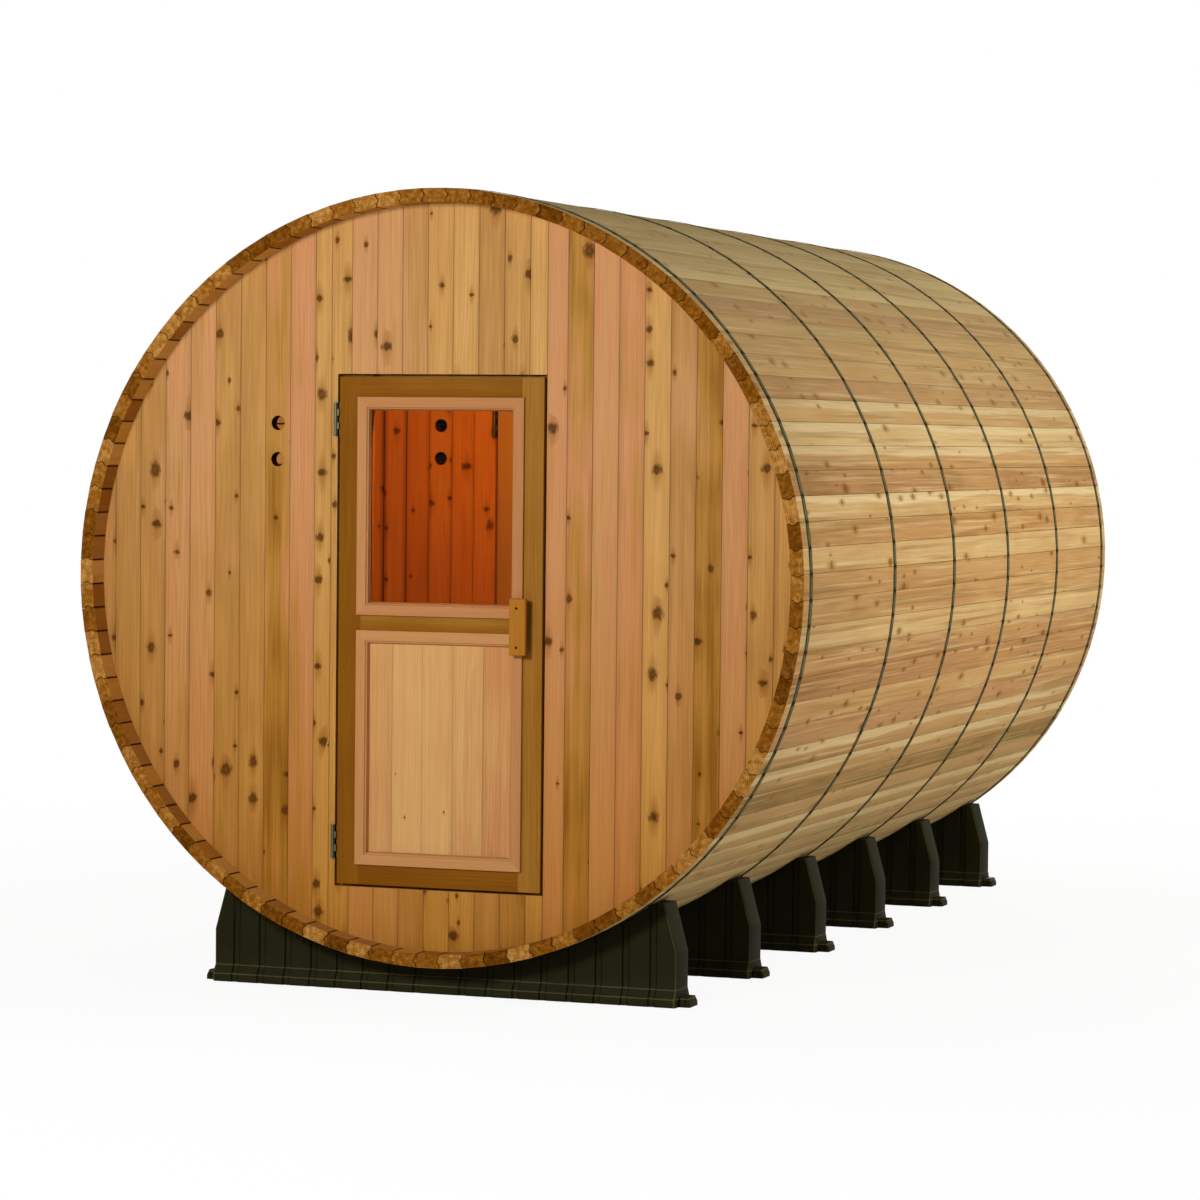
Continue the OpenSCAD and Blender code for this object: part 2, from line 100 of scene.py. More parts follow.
def bars(name, rings, materials, grain=0.0, ends=0.0, tone=0.0, half_w=1.0, smooth=40, loop=False):
    """Closed bars, each a ring of points carried along its stations and capped at both ends.

    rings is an array of bars, stations, points and coordinates. grain gives each corner of a
    side face its place on the plank: metres along, metres across and the plank's number. ends
    gives the same on the caps, tone gives each bar its shade and its share of knots, and half_w
    half the width of its face, or 1 m if its edges don't show. With loop, the last station joins
    the first and there are no caps. A second material is for the caps.
    """
    count, stations, around = rings.shape[:3]
    grain = np.broadcast_to(grain, (count, stations + loop, around + 1, 3))
    ends = np.broadcast_to(ends, (count, 2, around, 3))
    tone = np.broadcast_to(tone, (count, 2))
    index = np.arange(count * stations * around).reshape(count, stations, around)
    turn = np.concatenate([index, index[:, :, :1]], axis=2)
    if loop:
        turn = np.concatenate([turn, turn[:, :1]], axis=1)
    sides = [(slice(None, -1), slice(None, -1)), (slice(None, -1), slice(1, None)),
             (slice(1, None), slice(1, None)), (slice(1, None), slice(None, -1))]
    quads = np.stack([turn[:, s, p] for s, p in sides], axis=-1).reshape(count, -1, 4)
    marks = np.stack([grain[:, s, p] for s, p in sides], axis=-2).reshape(count, -1, 4, 3)
    caps = np.stack([index[:, 0, ::-1], index[:, -1]], axis=1)
    cap_marks = np.stack([ends[:, 0, ::-1], ends[:, 1]], axis=1)
    flat = rings.reshape(-1, 3)
    middle = rings.reshape(count, 1, -1, 3).mean(2)
    a, b, c, d = (flat[quads[:, :, k]] - middle for k in range(4))
    inside_out = (a * (np.cross(b, c) + np.cross(c, d))).sum((1, 2)) < 0
    for corner in (quads, marks, caps, cap_marks):
        corner[inside_out] = corner[inside_out][:, :, ::-1]
    if loop:
        caps, cap_marks = caps[:0], cap_marks[:0]
    side_count, cap_count = quads.shape[0] * quads.shape[1], 2 * len(caps)
    face_size = np.concatenate([np.full(side_count, 4), np.full(cap_count, around)])
    on_cap = np.arange(side_count + cap_count) >= side_count
    corners = np.concatenate([quads.ravel(), caps.ravel()])
    place = np.concatenate([marks.reshape(-1, 3), cap_marks.reshape(-1, 3)])
    shade = np.repeat(np.column_stack([tone, np.broadcast_to(half_w, count)]), stations * around, axis=0)
    mesh = bpy.data.meshes.new(name)
    mesh.vertices.add(len(flat))
    mesh.vertices.foreach_set("co", flat.astype(np.float32).ravel())
    mesh.loops.add(len(corners))
    mesh.loops.foreach_set("vertex_index", corners.astype(np.int32))
    mesh.polygons.add(len(face_size))
    mesh.polygons.foreach_set("loop_start", (np.cumsum(face_size) - face_size).astype(np.int32))
    mesh.polygons.foreach_set("material_index", (on_cap * (len(materials) > 1)).astype(np.int32))
    mesh.update(calc_edges=True)
    for key, values, domain in (("grain", place, "CORNER"), ("tone", shade, "POINT")):
        data = mesh.attributes.new(key, "FLOAT_VECTOR", domain).data
        data.foreach_set("vector", values.astype(np.float32).ravel())
    mesh.shade_smooth()
    mesh.set_sharp_from_angle(angle=np.radians(smooth))
    for material in materials:
        mesh.materials.append(material)
    piece = bpy.data.objects.new(name, mesh)
    scene.collection.objects.link(piece)
    return piece


def stacked(*parts):
    """Coordinates or marks made of three arrays that stretch to one shape."""
    return np.stack(np.broadcast_arrays(*parts), axis=-1)


def hex_colour(code):
    """Linear colour of an sRGB hex value."""
    c = np.array([int(code[k:k + 2], 16) for k in (1, 3, 5)]) / 255
    return (*np.where(c <= 0.04045, c / 12.92, ((c + 0.055) / 1.055) ** 2.4), 1.0)


def fill(node, *feeds, **named):
    """Gives a node's open inputs the feeds in order, and its named inputs their values.

    A socket is linked, a hex colour is made linear, and any other value is set as it is.
    """
    fed = list(zip([socket for socket in node.inputs if socket.enabled], feeds))
    fed += [(node.inputs[key.replace("_", " ")], value) for key, value in named.items()]
    for socket, value in fed:
        if isinstance(value, bpy.types.NodeSocket):
            node.id_data.links.new(value, socket)
        else:
            socket.default_value = hex_colour(value) if isinstance(value, str) else value


def add_node(tree, kind, *feeds, **named):
    """Adds a shader node, fills it and gives its first open output.

    The kind may be followed by the node's operation or, for a mix, its data type. A name with a
    capital letter is an input's, any other is a setting's, and color_ramp lists places and colours.
    """
    kind, *mode = kind.split()
    node = tree.nodes.new("ShaderNode" + kind)
    for value in mode:
        setattr(node, "data_type" if kind == "Mix" else "operation", value)
    stops = named.pop("color_ramp", [])
    for place, _ in stops[1:-1]:
        node.color_ramp.elements.new(place)
    for k, (place, code) in enumerate(stops):
        node.color_ramp.elements[k].position = place
        node.color_ramp.elements[k].color = hex_colour(code)
    for key in [key for key in named if key[0].islower()]:
        setattr(node, key, named.pop(key))
    fill(node, *feeds, **named)
    return next(socket for socket in node.outputs if socket.enabled)


def new_finish(name, **even):
    """New material with its even surface values: itself, what adds nodes to it, and its shader."""
    material = bpy.data.materials.new(name)
    material.use_nodes = True
    shader = material.node_tree.nodes["Principled BSDF"]
    fill(shader, **even)
    return material, partial(add_node, material.node_tree), shader


# Moulded polyethylene is an olive black and dull, finely pebbled and paler where dust lies. Painted
# highlights run along its long edges, and painted shade blackens the corners of its grooves.
cradle_plastic, add, shader = new_finish(
    "black polyethylene, moulded", Roughness=0.6, Specular_IOR_Level=0.02)
where = add("TexCoord").node.outputs["Object"]
pebble = add("TexNoise", where, 1 / (3 * MM), 3.0)
dust = add("TexNoise", where, 1 / (140 * MM), 5.0, 0.65)
sideways, _, height = add("SeparateXYZ", where).node.outputs
sideways = add("Math ABSOLUTE", sideways)
low_down = add("MapRange", height, 120 * MM, 0.0, 0.4, 0.8)
dust_and_highlight = add("Math MULTIPLY", dust, low_down)
plastic = add("Mix RGBA", dust_and_highlight, "#1a190b", "#34321a")
# Painted shade: the corners of each groove are darkened almost to black.
past_first = add("Math SUBTRACT", sideways, groove_first)
off_groove = add("Math PINGPONG", past_first, groove_pitch / 2)
off_corner = add("Math ABSOLUTE", add("Math SUBTRACT", off_groove, groove_half + 1 * MM))
corner = add("MapRange", off_corner, 2.5 * MM, 1.2 * MM, 0.0, 0.8)
plastic = add("Mix RGBA", corner, plastic, "#060502")
# Painted highlights: pale lines along the plinth's two edges and round the ends, as strong as the dust
# there.
leaning = add("MapRange", height, knee_h, ear_h, 0.0, ear_lean)
upright = add("Math ADD", sideways, leaning)
for along, edge in ((height, plinth_h), (height, plinth_foot), (upright, cradle_half - end_round / 2)):
    off_edge = add("Math ABSOLUTE", add("Math SUBTRACT", along, edge))
    painted_highlight = add("MapRange", off_edge, 2.2 * MM, 0.8 * MM, 0.0, dust_and_highlight)
    plastic = add("Mix RGBA", painted_highlight, plastic, "#6c6846")
fill(shader, Base_Color=plastic, Normal=add("Bump", 0.15, 0.6 * MM, Height=pebble))


def cradle_rings(y):
    """Section of a cradle carried across the barrel.

    The half section climbs the plinth's foot, its slope, the face and the rounded top edge. The
    top follows the barrel's curve and then the flat ear. In a groove the face steps back. Near
    the ends the section leans in above the knee, is rounded off, and closes to a thin strip.
    """
    flank = 2 * MM
    step = np.array([-groove_half - flank, -groove_half, groove_half, groove_half + flank])
    bend = np.radians(np.linspace(0, 90, 5))
    round_start = cradle_half - end_round
    x = np.concatenate([(groove_at[:, None] + step).ravel(), np.linspace(0, ear_start, 24)])
    x = np.concatenate([np.unique(x[x < round_start]), round_start + end_round * np.sin(bend)])
    rounded = end_round - np.sqrt(np.maximum(end_round**2 - np.maximum(x - round_start, 0) ** 2, 0))
    grooved = np.abs(x[:, None] - groove_at).min(1) < groove_half + flank / 2
    x, inset = np.append(x, cradle_half), np.append(rounded + groove_deep * grooved, cradle_t)
    x, inset = np.concatenate([-x[:0:-1], x]), np.concatenate([inset[:0:-1], inset])[:, None]
    top = np.minimum(axis_h - np.sqrt(seat_r**2 - x**2), ear_h)[:, None]
    knee_share = (knee_h - plinth_h) / (ear_h - top_round - plinth_h)
    rise = np.array([0, 0.2, knee_share, 0.72, 1.0])
    turn = np.radians([30, 60, 90])
    face_z = plinth_h + rise * (top - top_round - plinth_h)
    lip_z = top - top_round * (1 - np.sin(turn))
    foot_z = np.tile([0, 3 * MM, plinth_foot], (len(x), 1))
    half_z = np.hstack([foot_z, face_z, lip_z])
    out = cradle_t / 2
    foot_y = out + plinth_out - np.array([3 * MM, 0, 0])
    lip_y = out - top_round * (1 - np.cos(turn))
    half_y = np.maximum(np.concatenate([foot_y, np.full(len(rise), out), lip_y]) - inset, 0.5 * MM)
    z = np.hstack([half_z, half_z[:, ::-1]])
    lean = ear_lean * np.clip((z - knee_h) / (ear_h - knee_h), 0, 1)
    pull = np.clip((np.abs(x) - ear_start) / (cradle_half - ear_start), 0, 1)[:, None]
    across = x[:, None] - np.sign(x)[:, None] * lean * pull
    return stacked(across, y + np.hstack([half_y, -half_y[:, ::-1]]), z)


def toe_rings(y):
    """The two toes of a cradle: a flat bar with bevelled edges, cut back towards its tip."""
    wide = np.array([-1, 1, 1, 1 - toe_cut / toe_half, toe_cut / toe_half - 1, -1]) * toe_half
    tall = np.array([0, 0, toe_h - toe_cut, toe_h, toe_h, toe_h - toe_cut])
    x = np.array([toe_root, toe_end - toe_cut, toe_end])[:, None]
    slim, flat = np.array([[1], [1], [0.9]]), np.array([[1], [1], [0.55]])
    toe = stacked(x, y + wide * slim, tall * flat)
    return np.stack([toe, toe * [-1, 1, 1]])


for node in cradles:
    low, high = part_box(node)
    mid_y = (low.y + high.y) / 2
    for kind, rings in (("piece_", cradle_rings(mid_y)[None]), ("toes_", toe_rings(mid_y))):
        piece = bars(kind + node, rings, [cradle_plastic], smooth=35)
        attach(piece, "shell")
    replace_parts(bpy.data.objects["piece_" + node], node)

# Staves: narrow cedar planks with a bead along one edge and a cove along the other, so that
# they lock into a ring. They are planed, left bare, and sawn off square at both ends.
stave_t, stave_gap, stave_ease, inner_ease = 38 * MM, 0.3 * MM, 1.2 * MM, 0.8 * MM
bead_r, bead_out = 12 * MM, 6 * MM
front_y, back_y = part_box("staves_right")[0].y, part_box("staves_right")[1].y
inner_r = barrel_r - stave_t
stave_turn = 2 * np.pi / stave_count
lip_start = -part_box("front_wall_left")[0].y


def turned(points, angle):
    """Points of a drawing, turned counter-clockwise round its origin by the angle."""
    c, s = np.cos(angle), np.sin(angle)
    return points @ np.array([[c, s], [-s, c]])


def arc(centre, radius, start, stop, steps):
    """Points on a circle round the centre, from one angle to another in degrees."""
    t = np.radians(np.linspace(start, stop, steps))
    return np.asarray(centre) + radius * np.column_stack([np.cos(t), np.sin(t)])


def girth_of(section):
    """Distance walked round a closed section at each of its points, and at the first one again."""
    walk = np.linalg.norm(np.diff(np.vstack([section, section[:1]]), axis=0), axis=1)
    return np.concatenate([[0], np.cumsum(walk)])


def stave_profile():
    """Section of the stave at the top of the ring, as its right and its left half.

    The inner corner, the edge with its bead and the rounded outer corner come first, then the
    other outer corner and the edge with its cove. Each is drawn upright and turned by half a
    stave's angle.
    """
    half = np.degrees(np.arccos((bead_r - bead_out) / bead_r))
    core = np.array([-stave_gap - bead_r + bead_out, barrel_r - stave_t / 2])
    right = np.vstack([
        [[-stave_gap - inner_ease, inner_r], [-stave_gap, inner_r + inner_ease]],
        arc(core, bead_r, -half, half, 9),
        arc((-stave_gap - stave_ease, barrel_r - stave_ease), stave_ease, 0, 90, 4)])
    left = np.vstack([
        arc((stave_gap + stave_ease, barrel_r - stave_ease), stave_ease, 90, 180, 4),
        arc(core + [2 * stave_gap, 0], bead_r + stave_gap, half, -half, 9),
        [[stave_gap, inner_r + inner_ease], [stave_gap + inner_ease, inner_r]]])
    return turned(right, -stave_turn / 2), turned(left, stave_turn / 2)


def cedar(name, tones, knot_mm=8.0, knot_dark=0.85, late_dark=0.6, drift=0.35, joint=0.12, amber=0.0,
          inner_face=None, roughness=0.6):
    """Planed cedar, from each plank's place along, place across and number.

    Late wood, as dark as late_dark, lies in rings round a pith beside the plank, which show as long
    lines and arches. Streaks drift from the plank's own shade through its ramp of tones. Knots are
    spots in some cells of a pattern, as dark as knot_dark and about knot_mm in radius, with a
    dark rim, a stain drawn out along the grain and grain that bends round them. By joint a plank has
    a dark line in its joints, and painted shade darkens it towards its long edges. amber is the
    strength of painted shade that darkens and warms the wood towards the ground. With inner_face,
    the places across where a stave's inner face starts and stops, the wood is outdoors: it has pale
    sapwood and brown streaks, is grey from weather towards the sky and pale olive towards the
    ground, both tints lightened as painted light, and is oiled on the lips beyond the end walls.
    """
    material, add, shader = new_finish(
        name, Roughness=roughness, Specular_IOR_Level=0.0 if inner_face else 0.03)
    place = add("Attribute", attribute_name="grain").node.outputs["Vector"]
    plank = add("Attribute", attribute_name="tone").node.outputs["Vector"]
    along, across, number = add("SeparateXYZ", place).node.outputs
    shade, knot_share, half_w = add("SeparateXYZ", plank).node.outputs
    chances = add("TexWhiteNoise", number, noise_dimensions="1D").node.outputs["Color"]
    luck_1, luck_2, luck_3 = add("SeparateColor", chances).node.outputs
    # Noise drawn out along the grain: its size in mm along and across, its detail and roughness.
    sizes = {"ragged": (16, 9, 3.0, 0.6), "wavy": (380, 45, 2.0, 0.6), "fine": (240, 2.6, 4.0, 0.7),
             "broad": (800, 24, 3.0, 0.6), "slow": (450, 200, 2.0, 0.6)}
    if inner_face:
        sizes.update(border=(1200, 700, 1.5, 0.6), pale=(900, 12, 2.0, 0.6), brown=(1100, 24, 2.0, 0.6))
    plank_step = 7.31
    streaks = {}
    for key, (along_mm, across_mm, detail, rough) in sizes.items():
        scale = (1 / (along_mm * MM), 1 / (across_mm * MM), plank_step)
        streaks[key] = add("TexNoise", add("VectorMath MULTIPLY", place, scale), 1.0, detail, rough)

    cell = 95 * MM
    knot_r = knot_mm * MM / cell
    row = add("Math MULTIPLY", number, 3.717)
    cell_x = add("Math MULTIPLY", along, 0.8 / cell)
    cell_y = add("Math MULTIPLY_ADD", across, 1 / cell, row)
    at = add("CombineXYZ", cell_x, cell_y)
    spots = add("TexVoronoi", at, 1.0, voronoi_dimensions="2D").node.outputs
    spot_1, spot_2, spot_3 = add("SeparateColor", spots["Color"]).node.outputs
    chosen = add("Math LESS_THAN", spot_1, knot_share)
    reach = add("Math MULTIPLY_ADD", add("Math POWER", spot_2, 1.5), knot_r, 0.4 * knot_r)
    offset = add("VectorMath SUBTRACT", at, spots["Position"])
    oval = add("CombineXYZ", add("Math MULTIPLY_ADD", spot_3, 1.1, 0.8), 0.9, 0.0)
    near = add("VectorMath LENGTH", add("VectorMath MULTIPLY", offset, oval))
    ragged = add("Math MULTIPLY_ADD", streaks["ragged"], 2.0, -1.0)
    near = add("Math ADD", add("Math DIVIDE", near, reach), ragged)
    knot = add("MapRange", near, 1.3, 0.55, 0.0, chosen)
    rim = add("MapRange", near, 0.0, 0.7, spot_3)
    far = add("VectorMath LENGTH", add("VectorMath MULTIPLY", offset, (0.3, 0.85, 0.0)))
    stain = add("MapRange", add("Math DIVIDE", far, reach), 1.2, 0.2, 0.0, chosen)

    aside = add("SeparateXYZ", offset).node.outputs["Y"]
    pushed = add("Math MULTIPLY_ADD", add("Math MULTIPLY", aside, stain), -0.7 * cell, across)
    pith_side = add("Math MULTIPLY_ADD", luck_1, 140 * MM, -70 * MM)
    pith_slope = add("Math MULTIPLY_ADD", luck_2, 0.05, -0.025)
    pith_start = add("Math MULTIPLY_ADD", luck_3, 50 * MM, 5 * MM)
    pith_across = add("Math SUBTRACT", pith_side, pushed)
    pith_deep = add("Math MULTIPLY_ADD", along, pith_slope, pith_start)
    pith_far = add("VectorMath LENGTH", add("CombineXYZ", pith_across, pith_deep))
    waved = add("Math MULTIPLY_ADD", streaks["wavy"], 30 * MM, pith_far)
    # Real rings are 2 to 4 mm apart, and are drawn coarser here so that they show.
    phase = add("Math MULTIPLY", waved, 2 * np.pi / (9 * MM))
    late = add("Math MULTIPLY_ADD", add("Math SINE", phase), 0.5, 0.5)

    broad = add("Math MULTIPLY_ADD", streaks["broad"], drift, -0.5 * drift)
    slow = add("Math MULTIPLY_ADD", streaks["slow"], 1.2 * drift, -0.6 * drift)
    drifted = add("Math ADD", shade, add("Math ADD", broad, slow))
    colour = add("ValToRGB", drifted, color_ramp=tones)
    if inner_face:
        rosy = add("Math MULTIPLY", add("Math LESS_THAN", luck_2, 0.16), 0.5)
        border = add("Math MULTIPLY_ADD", streaks["border"], 80 * MM, across)
        sap = add("MapRange", border, 44 * MM, 52 * MM, 0.0, add("Math LESS_THAN", luck_3, 0.2))
        patches = add("MapRange", streaks["pale"], 0.52, 0.66, 0.0, 0.5)
        pale = add("Math MULTIPLY", add("Math MAXIMUM", sap, patches), 0.85)
        brown = add("MapRange", streaks["brown"], 0.53, 0.7, 0.0, 0.6)
        for share, tint in ((rosy, "#b5825a"), (pale, "#dfc692"), (brown, "#97703a")):
            colour = add("Mix RGBA", share, colour, tint)
    fibre = add("Math MULTIPLY_ADD", streaks["fine"], 1.1, -0.42)
    ring_dark = add("Math MULTIPLY_ADD", luck_1, 0.18, 0.02)
    lines = add("Math MULTIPLY_ADD", late, ring_dark, fibre)
    dark = add("Math MULTIPLY", lines, late_dark, use_clamp=True)
    colour = add("Mix RGBA", dark, colour, "#8a5526", blend_type="MULTIPLY")
    colour = add("Mix RGBA", add("Math MULTIPLY", stain, 0.65), colour, "#8c5616")
    eye = add("Mix RGBA", rim, "#6e3e0c", "#381c02")
    colour = add("Mix RGBA", add("Math MULTIPLY", knot, knot_dark), colour, eye)
    sideways = add("Math ABSOLUTE", across)
    to_edge = add("Math ABSOLUTE", add("Math SUBTRACT", half_w, sideways))
    # Painted shade darkens each plank over its last 16 mm towards its long edges, beside the dark line of
    # the joint itself.
    shaded = add("Math MULTIPLY", luck_2, 2.2 * joint)
    painted_edge_shade = add("MapRange", to_edge, 16 * MM, 1 * MM, 0.0, shaded)
    groove = add("MapRange", to_edge, 2.5 * MM, 1 * MM, 0.0, joint)
    edge = add("Math ADD", painted_edge_shade, groove)
    colour = add("Mix RGBA", edge, colour, "#5a3410", blend_type="MULTIPLY")
    # Painted shade: the wood darkens and warms towards the ground, by amber.
    if amber:
        above = add("SeparateXYZ", add("TexCoord").node.outputs["Object"]).node.outputs["Z"]
        oiled = add("MapRange", above, axis_h + 0.4 * barrel_r, axis_h - 0.9 * barrel_r, 0.0, amber)
        colour = add("Mix RGBA", oiled, colour, "#e8d492", blend_type="MULTIPLY")
    if inner_face:
        above = add("SeparateXYZ", add("TexCoord").node.outputs["Object"]).node.outputs["Z"]
        # Weather tints the staves grey towards the sky and olive towards the ground. Both tints are
        # lightened as painted light, where the lamps reach the barrel less.
        skyward = add("MapRange", above, axis_h + 0.2 * barrel_r, axis_h + 0.95 * barrel_r, 0.0, 0.6)
        under = add("MapRange", above, axis_h - 0.3 * barrel_r, axis_h - 0.9 * barrel_r, 0.0, 0.5)
        inside = add("Math GREATER_THAN", across, inner_face[0])
        endward = add("Math GREATER_THAN", add("Math ABSOLUTE", along), lip_start)
        lip = add("Math MULTIPLY", add("Math MULTIPLY", inside, endward), 0.85)
        inner_half, inner_middle = (inner_face[1] - inner_face[0]) / 2, sum(inner_face) / 2
        off_middle = add("Math ABSOLUTE", add("Math SUBTRACT", across, inner_middle))
        seam = add("MapRange", off_middle, inner_half - 3 * MM, inner_half - 1 * MM, 0.0, 0.8)
        past_face = add("Math GREATER_THAN", sideways, add("Math ADD", half_w, 0.5 * MM))
        in_joint = add("Math SUBTRACT", past_face, inside)
        crack = add("Math MAXIMUM", add("Math MULTIPLY", seam, inside), in_joint)
        for share, tint in ((skyward, "#988b62"), (under, "#bcac7a"), (lip, "#a06214"), (crack, "#3a1c04")):
            colour = add("Mix RGBA", share, colour, tint)
    relief = add("Math MULTIPLY_ADD", late, 0.4, streaks["fine"])
    fill(shader, Base_Color=colour, Normal=add("Bump", 0.25, 0.6 * MM, Height=relief))
    return material


# Sawn ends show growth rings as arcs about a heart that lies off the plank. Weather has turned
# them brown, and dirt has settled along the joint with the next stave.
stave_ends, add, shader = new_finish("cedar end grain, sawn", Roughness=0.75, Specular_IOR_Level=0.0)
place = add("Attribute", attribute_name="grain").node.outputs["Vector"]
side, out, number = add("SeparateXYZ", place).node.outputs
chances = add("TexWhiteNoise", number, noise_dimensions="1D").node.outputs["Color"]
luck_1, luck_2, luck_3 = add("SeparateColor", chances).node.outputs
heart_x = add("Math MULTIPLY_ADD", luck_1, 120 * MM, -60 * MM)
heart_z = add("Math MULTIPLY_ADD", luck_2, 60 * MM, inner_r - 70 * MM)
heart_at = add("CombineXYZ", heart_x, heart_z)
far = add("VectorMath DISTANCE", add("CombineXYZ", side, out), heart_at)
scaled = add("VectorMath MULTIPLY", place, (1 / (14 * MM), 1 / (14 * MM), 9.7))
blotch = add("TexNoise", scaled, 1.0, 4.0, 0.65)
# Rings are drawn 6 mm apart, about twice as coarse as real ones, so that they show.
bent = add("Math MULTIPLY", blotch, 6.0)
phase = add("Math MULTIPLY_ADD", far, 2 * np.pi / (6 * MM), bent)
ring_shade = add("Math MULTIPLY_ADD", add("Math SINE", phase), 0.08, -0.46)
shade = add("Math MULTIPLY_ADD", luck_3, 0.6, ring_shade)
shade = add("Math MULTIPLY_ADD", blotch, 1.2, shade)
sawn = add("ValToRGB", shade, color_ramp=[
    (0.0, "#bc8a48"), (0.3, "#915c1c"), (0.6, "#6e3e0a"), (1.0, "#3e2002")])
lift = add("Math SUBTRACT", out, barrel_r - stave_t / 2)
chord = add("Math MULTIPLY_ADD", add("Math MULTIPLY", lift, lift), -1.0, bead_r**2)
bulge = add("Math SQRT", add("Math MAXIMUM", chord, 0.0))
bulge = add("Math MAXIMUM", add("Math SUBTRACT", bulge, bead_r - bead_out), 0.0)
from_middle = add("Math ABSOLUTE", add("Math SUBTRACT", side, bulge))
dirt = add("MapRange", from_middle, 31.5 * MM, 33.8 * MM, 0.0, 0.45)
sawn = add("Mix RGBA", dirt, sawn, "#2e1804")
fill(shader, Base_Color=sawn, Normal=add("Bump", 0.4, 1.0 * MM, Height=blotch))

right_half, left_half = stave_profile()
profile = np.vstack([right_half, left_half])
girth = girth_of(profile)
girth = girth - girth[len(right_half) - 1:len(right_half) + 1].mean()
# Bare staves are golden, each in a shade of its own, with cream sapwood and long brown streaks.
stave_cedar = cedar("cedar, planed and bare outdoors", [
    (0.0, "#d2b47c"), (0.3, "#c6a068"), (0.55, "#bd915a"), (0.75, "#b48658"), (0.9, "#9c7440"),
    (1.0, "#86602c")], knot_mm=10.0, knot_dark=0.4, drift=0.5, joint=0.05, inner_face=(girth[-2], girth[-1]))
octants = ["staves_right", "staves_upper_right", "staves_top", "staves_upper_left",
           "staves_left", "staves_lower_left", "staves_bottom", "staves_lower_right"]
per_octant = stave_count // len(octants)
station = np.array([0, 0, 0.25, 0.5, 0.75, 1, 1])
tip = np.array([0, 0.4, 0, 0, 0, -0.4, 0]) * MM
drawn_in = np.array([0.99, 1, 1, 1, 1, 1, 0.99])[:, None, None]
heart = profile.mean(0)
# The saw leaves each end up to saw_mm short, and a stave bows by about this share of its radius.
saw_mm, bow_share = 2.5, 0.00012
# Added to a plank's number, this gives its two ends patterns of their own.
end_step = np.array([[0.0], [0.5]])
for k, node in enumerate(octants):
    number = np.arange(per_octant) + k * per_octant
    angle = ((number - per_octant / 2) * stave_turn - np.pi / 2)[:, None, None]
    saw = chance.uniform(0.0, saw_mm, (per_octant, 2)) * MM
    first, last = front_y + saw[:, :1], back_y - saw[:, 1:]
    y = (first + station * (last - first) + tip)[:, :, None]
    bow = 1 + chance.normal(0, bow_share, (per_octant, len(station), 1))
    section = heart + (profile - heart) * drawn_in
    flat_x, flat_z = section[None, :, :, 0], section[None, :, :, 1] * bow
    rings = stacked(flat_x * np.cos(angle) - flat_z * np.sin(angle), y,
                    axis_h + flat_x * np.sin(angle) + flat_z * np.cos(angle))
    plank = number[:, None, None] * 1.0
    grain = stacked(y, girth, plank)
    ends = stacked(*profile.T, plank + end_step)
    tone = np.column_stack([np.clip(chance.normal(0.5, 0.27, per_octant), 0.05, 0.95),
                            chance.uniform(0.2, 0.8, per_octant)])
    piece = bars("piece_" + node, rings, [stave_cedar, stave_ends], grain, ends, tone,
                 half_w=barrel_r * stave_turn / 2)
    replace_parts(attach(piece, "shell"), node)

# Hoops: flat strips of galvanised steel drawn tight round the staves, each by a bolt through
# its two folded ends under the barrel. The zinc has dulled to a blotchy grey. Painted shadow marks
# it with a dark spot over each joint between staves, and painted shade darkens it under the barrel.
hoop_steel, add, shader = new_finish("galvanised steel, weathered", Roughness=0.8, Specular_IOR_Level=0.0)
where = add("TexCoord").node.outputs["Object"]
spangle = add("TexVoronoi", where, 1 / (14 * MM)).node.outputs["Color"]
bright = add("Math MULTIPLY", add("SeparateColor", spangle), 0.4)
stain = add("TexNoise", where, 1 / (60 * MM), 5.0, 0.7)
zinc = add("Mix RGBA", bright, "#6c684c", "#8a8668")
zinc = add("Mix RGBA", stain, zinc, "#3c3a28")
sideways, _, height = add("SeparateXYZ", where).node.outputs
lifted = add("Math SUBTRACT", height, axis_h)
# Painted shadow: a dark spot over each stave joint, where the strip bridges the gap.
round_angle = add("Math ARCTAN2", sideways, lifted)
off_stave = add("Math PINGPONG", round_angle, stave_turn / 2)
painted_joint_shadow = add("MapRange", off_stave, 0.34 * stave_turn, 0.48 * stave_turn, 0.0, 0.85)
zinc = add("Mix RGBA", painted_joint_shadow, zinc, "#1c1a10")
# Painted shade: the steel darkens towards the bottom of the barrel.
low_down = add("MapRange", lifted, -0.7 * barrel_r, -0.9 * barrel_r, 0.0, 0.9)
zinc = add("Mix RGBA", low_down, zinc, "#12110a")
fill(shader, Base_Color=zinc)


def dress(node, material):
    """Gives a solid that is shown as it was packed its material."""
    solid = frame["nodes"][node].data
    solid.materials.clear()
    solid.materials.append(material)


dress("hoops", hoop_steel)

# Walls: upright tongue-and-groove cedar boards that meet in small V joints. They stand in a
# groove inside the staves. The front wall and the partition leave a doorway and two vent holes.
# Oil warms the planed boards: pale, tan, pink and golden brown side by side, with dark knots.
wall_cedar = cedar("cedar boards, planed and oiled", [
    (0.0, "#d4a464"), (0.25, "#c89856"), (0.42, "#b48448"), (0.58, "#c79460"), (0.75, "#c98d5e"),
    (0.9, "#b2823a"), (1.0, "#966624")],
    knot_mm=11.0, late_dark=0.7, drift=0.4, joint=0.09, amber=0.9, roughness=0.55)
board_ease, board_joint = 1.2 * MM, 0.2 * MM
# The back of a board reads its pattern this far from the front, so that its knots differ.
back_shift = 400 * MM
wall_r = inner_r + 3 * MM
wall_edge = wall_r - 1 * MM
beyond = 2 * barrel_r
# Edges of the doorway and of the vent board, and a place past the wall, in mm from the middle.
door_half, vent_in, vent_out, wall_end = 309.5, 453.5, 528.5, 1040
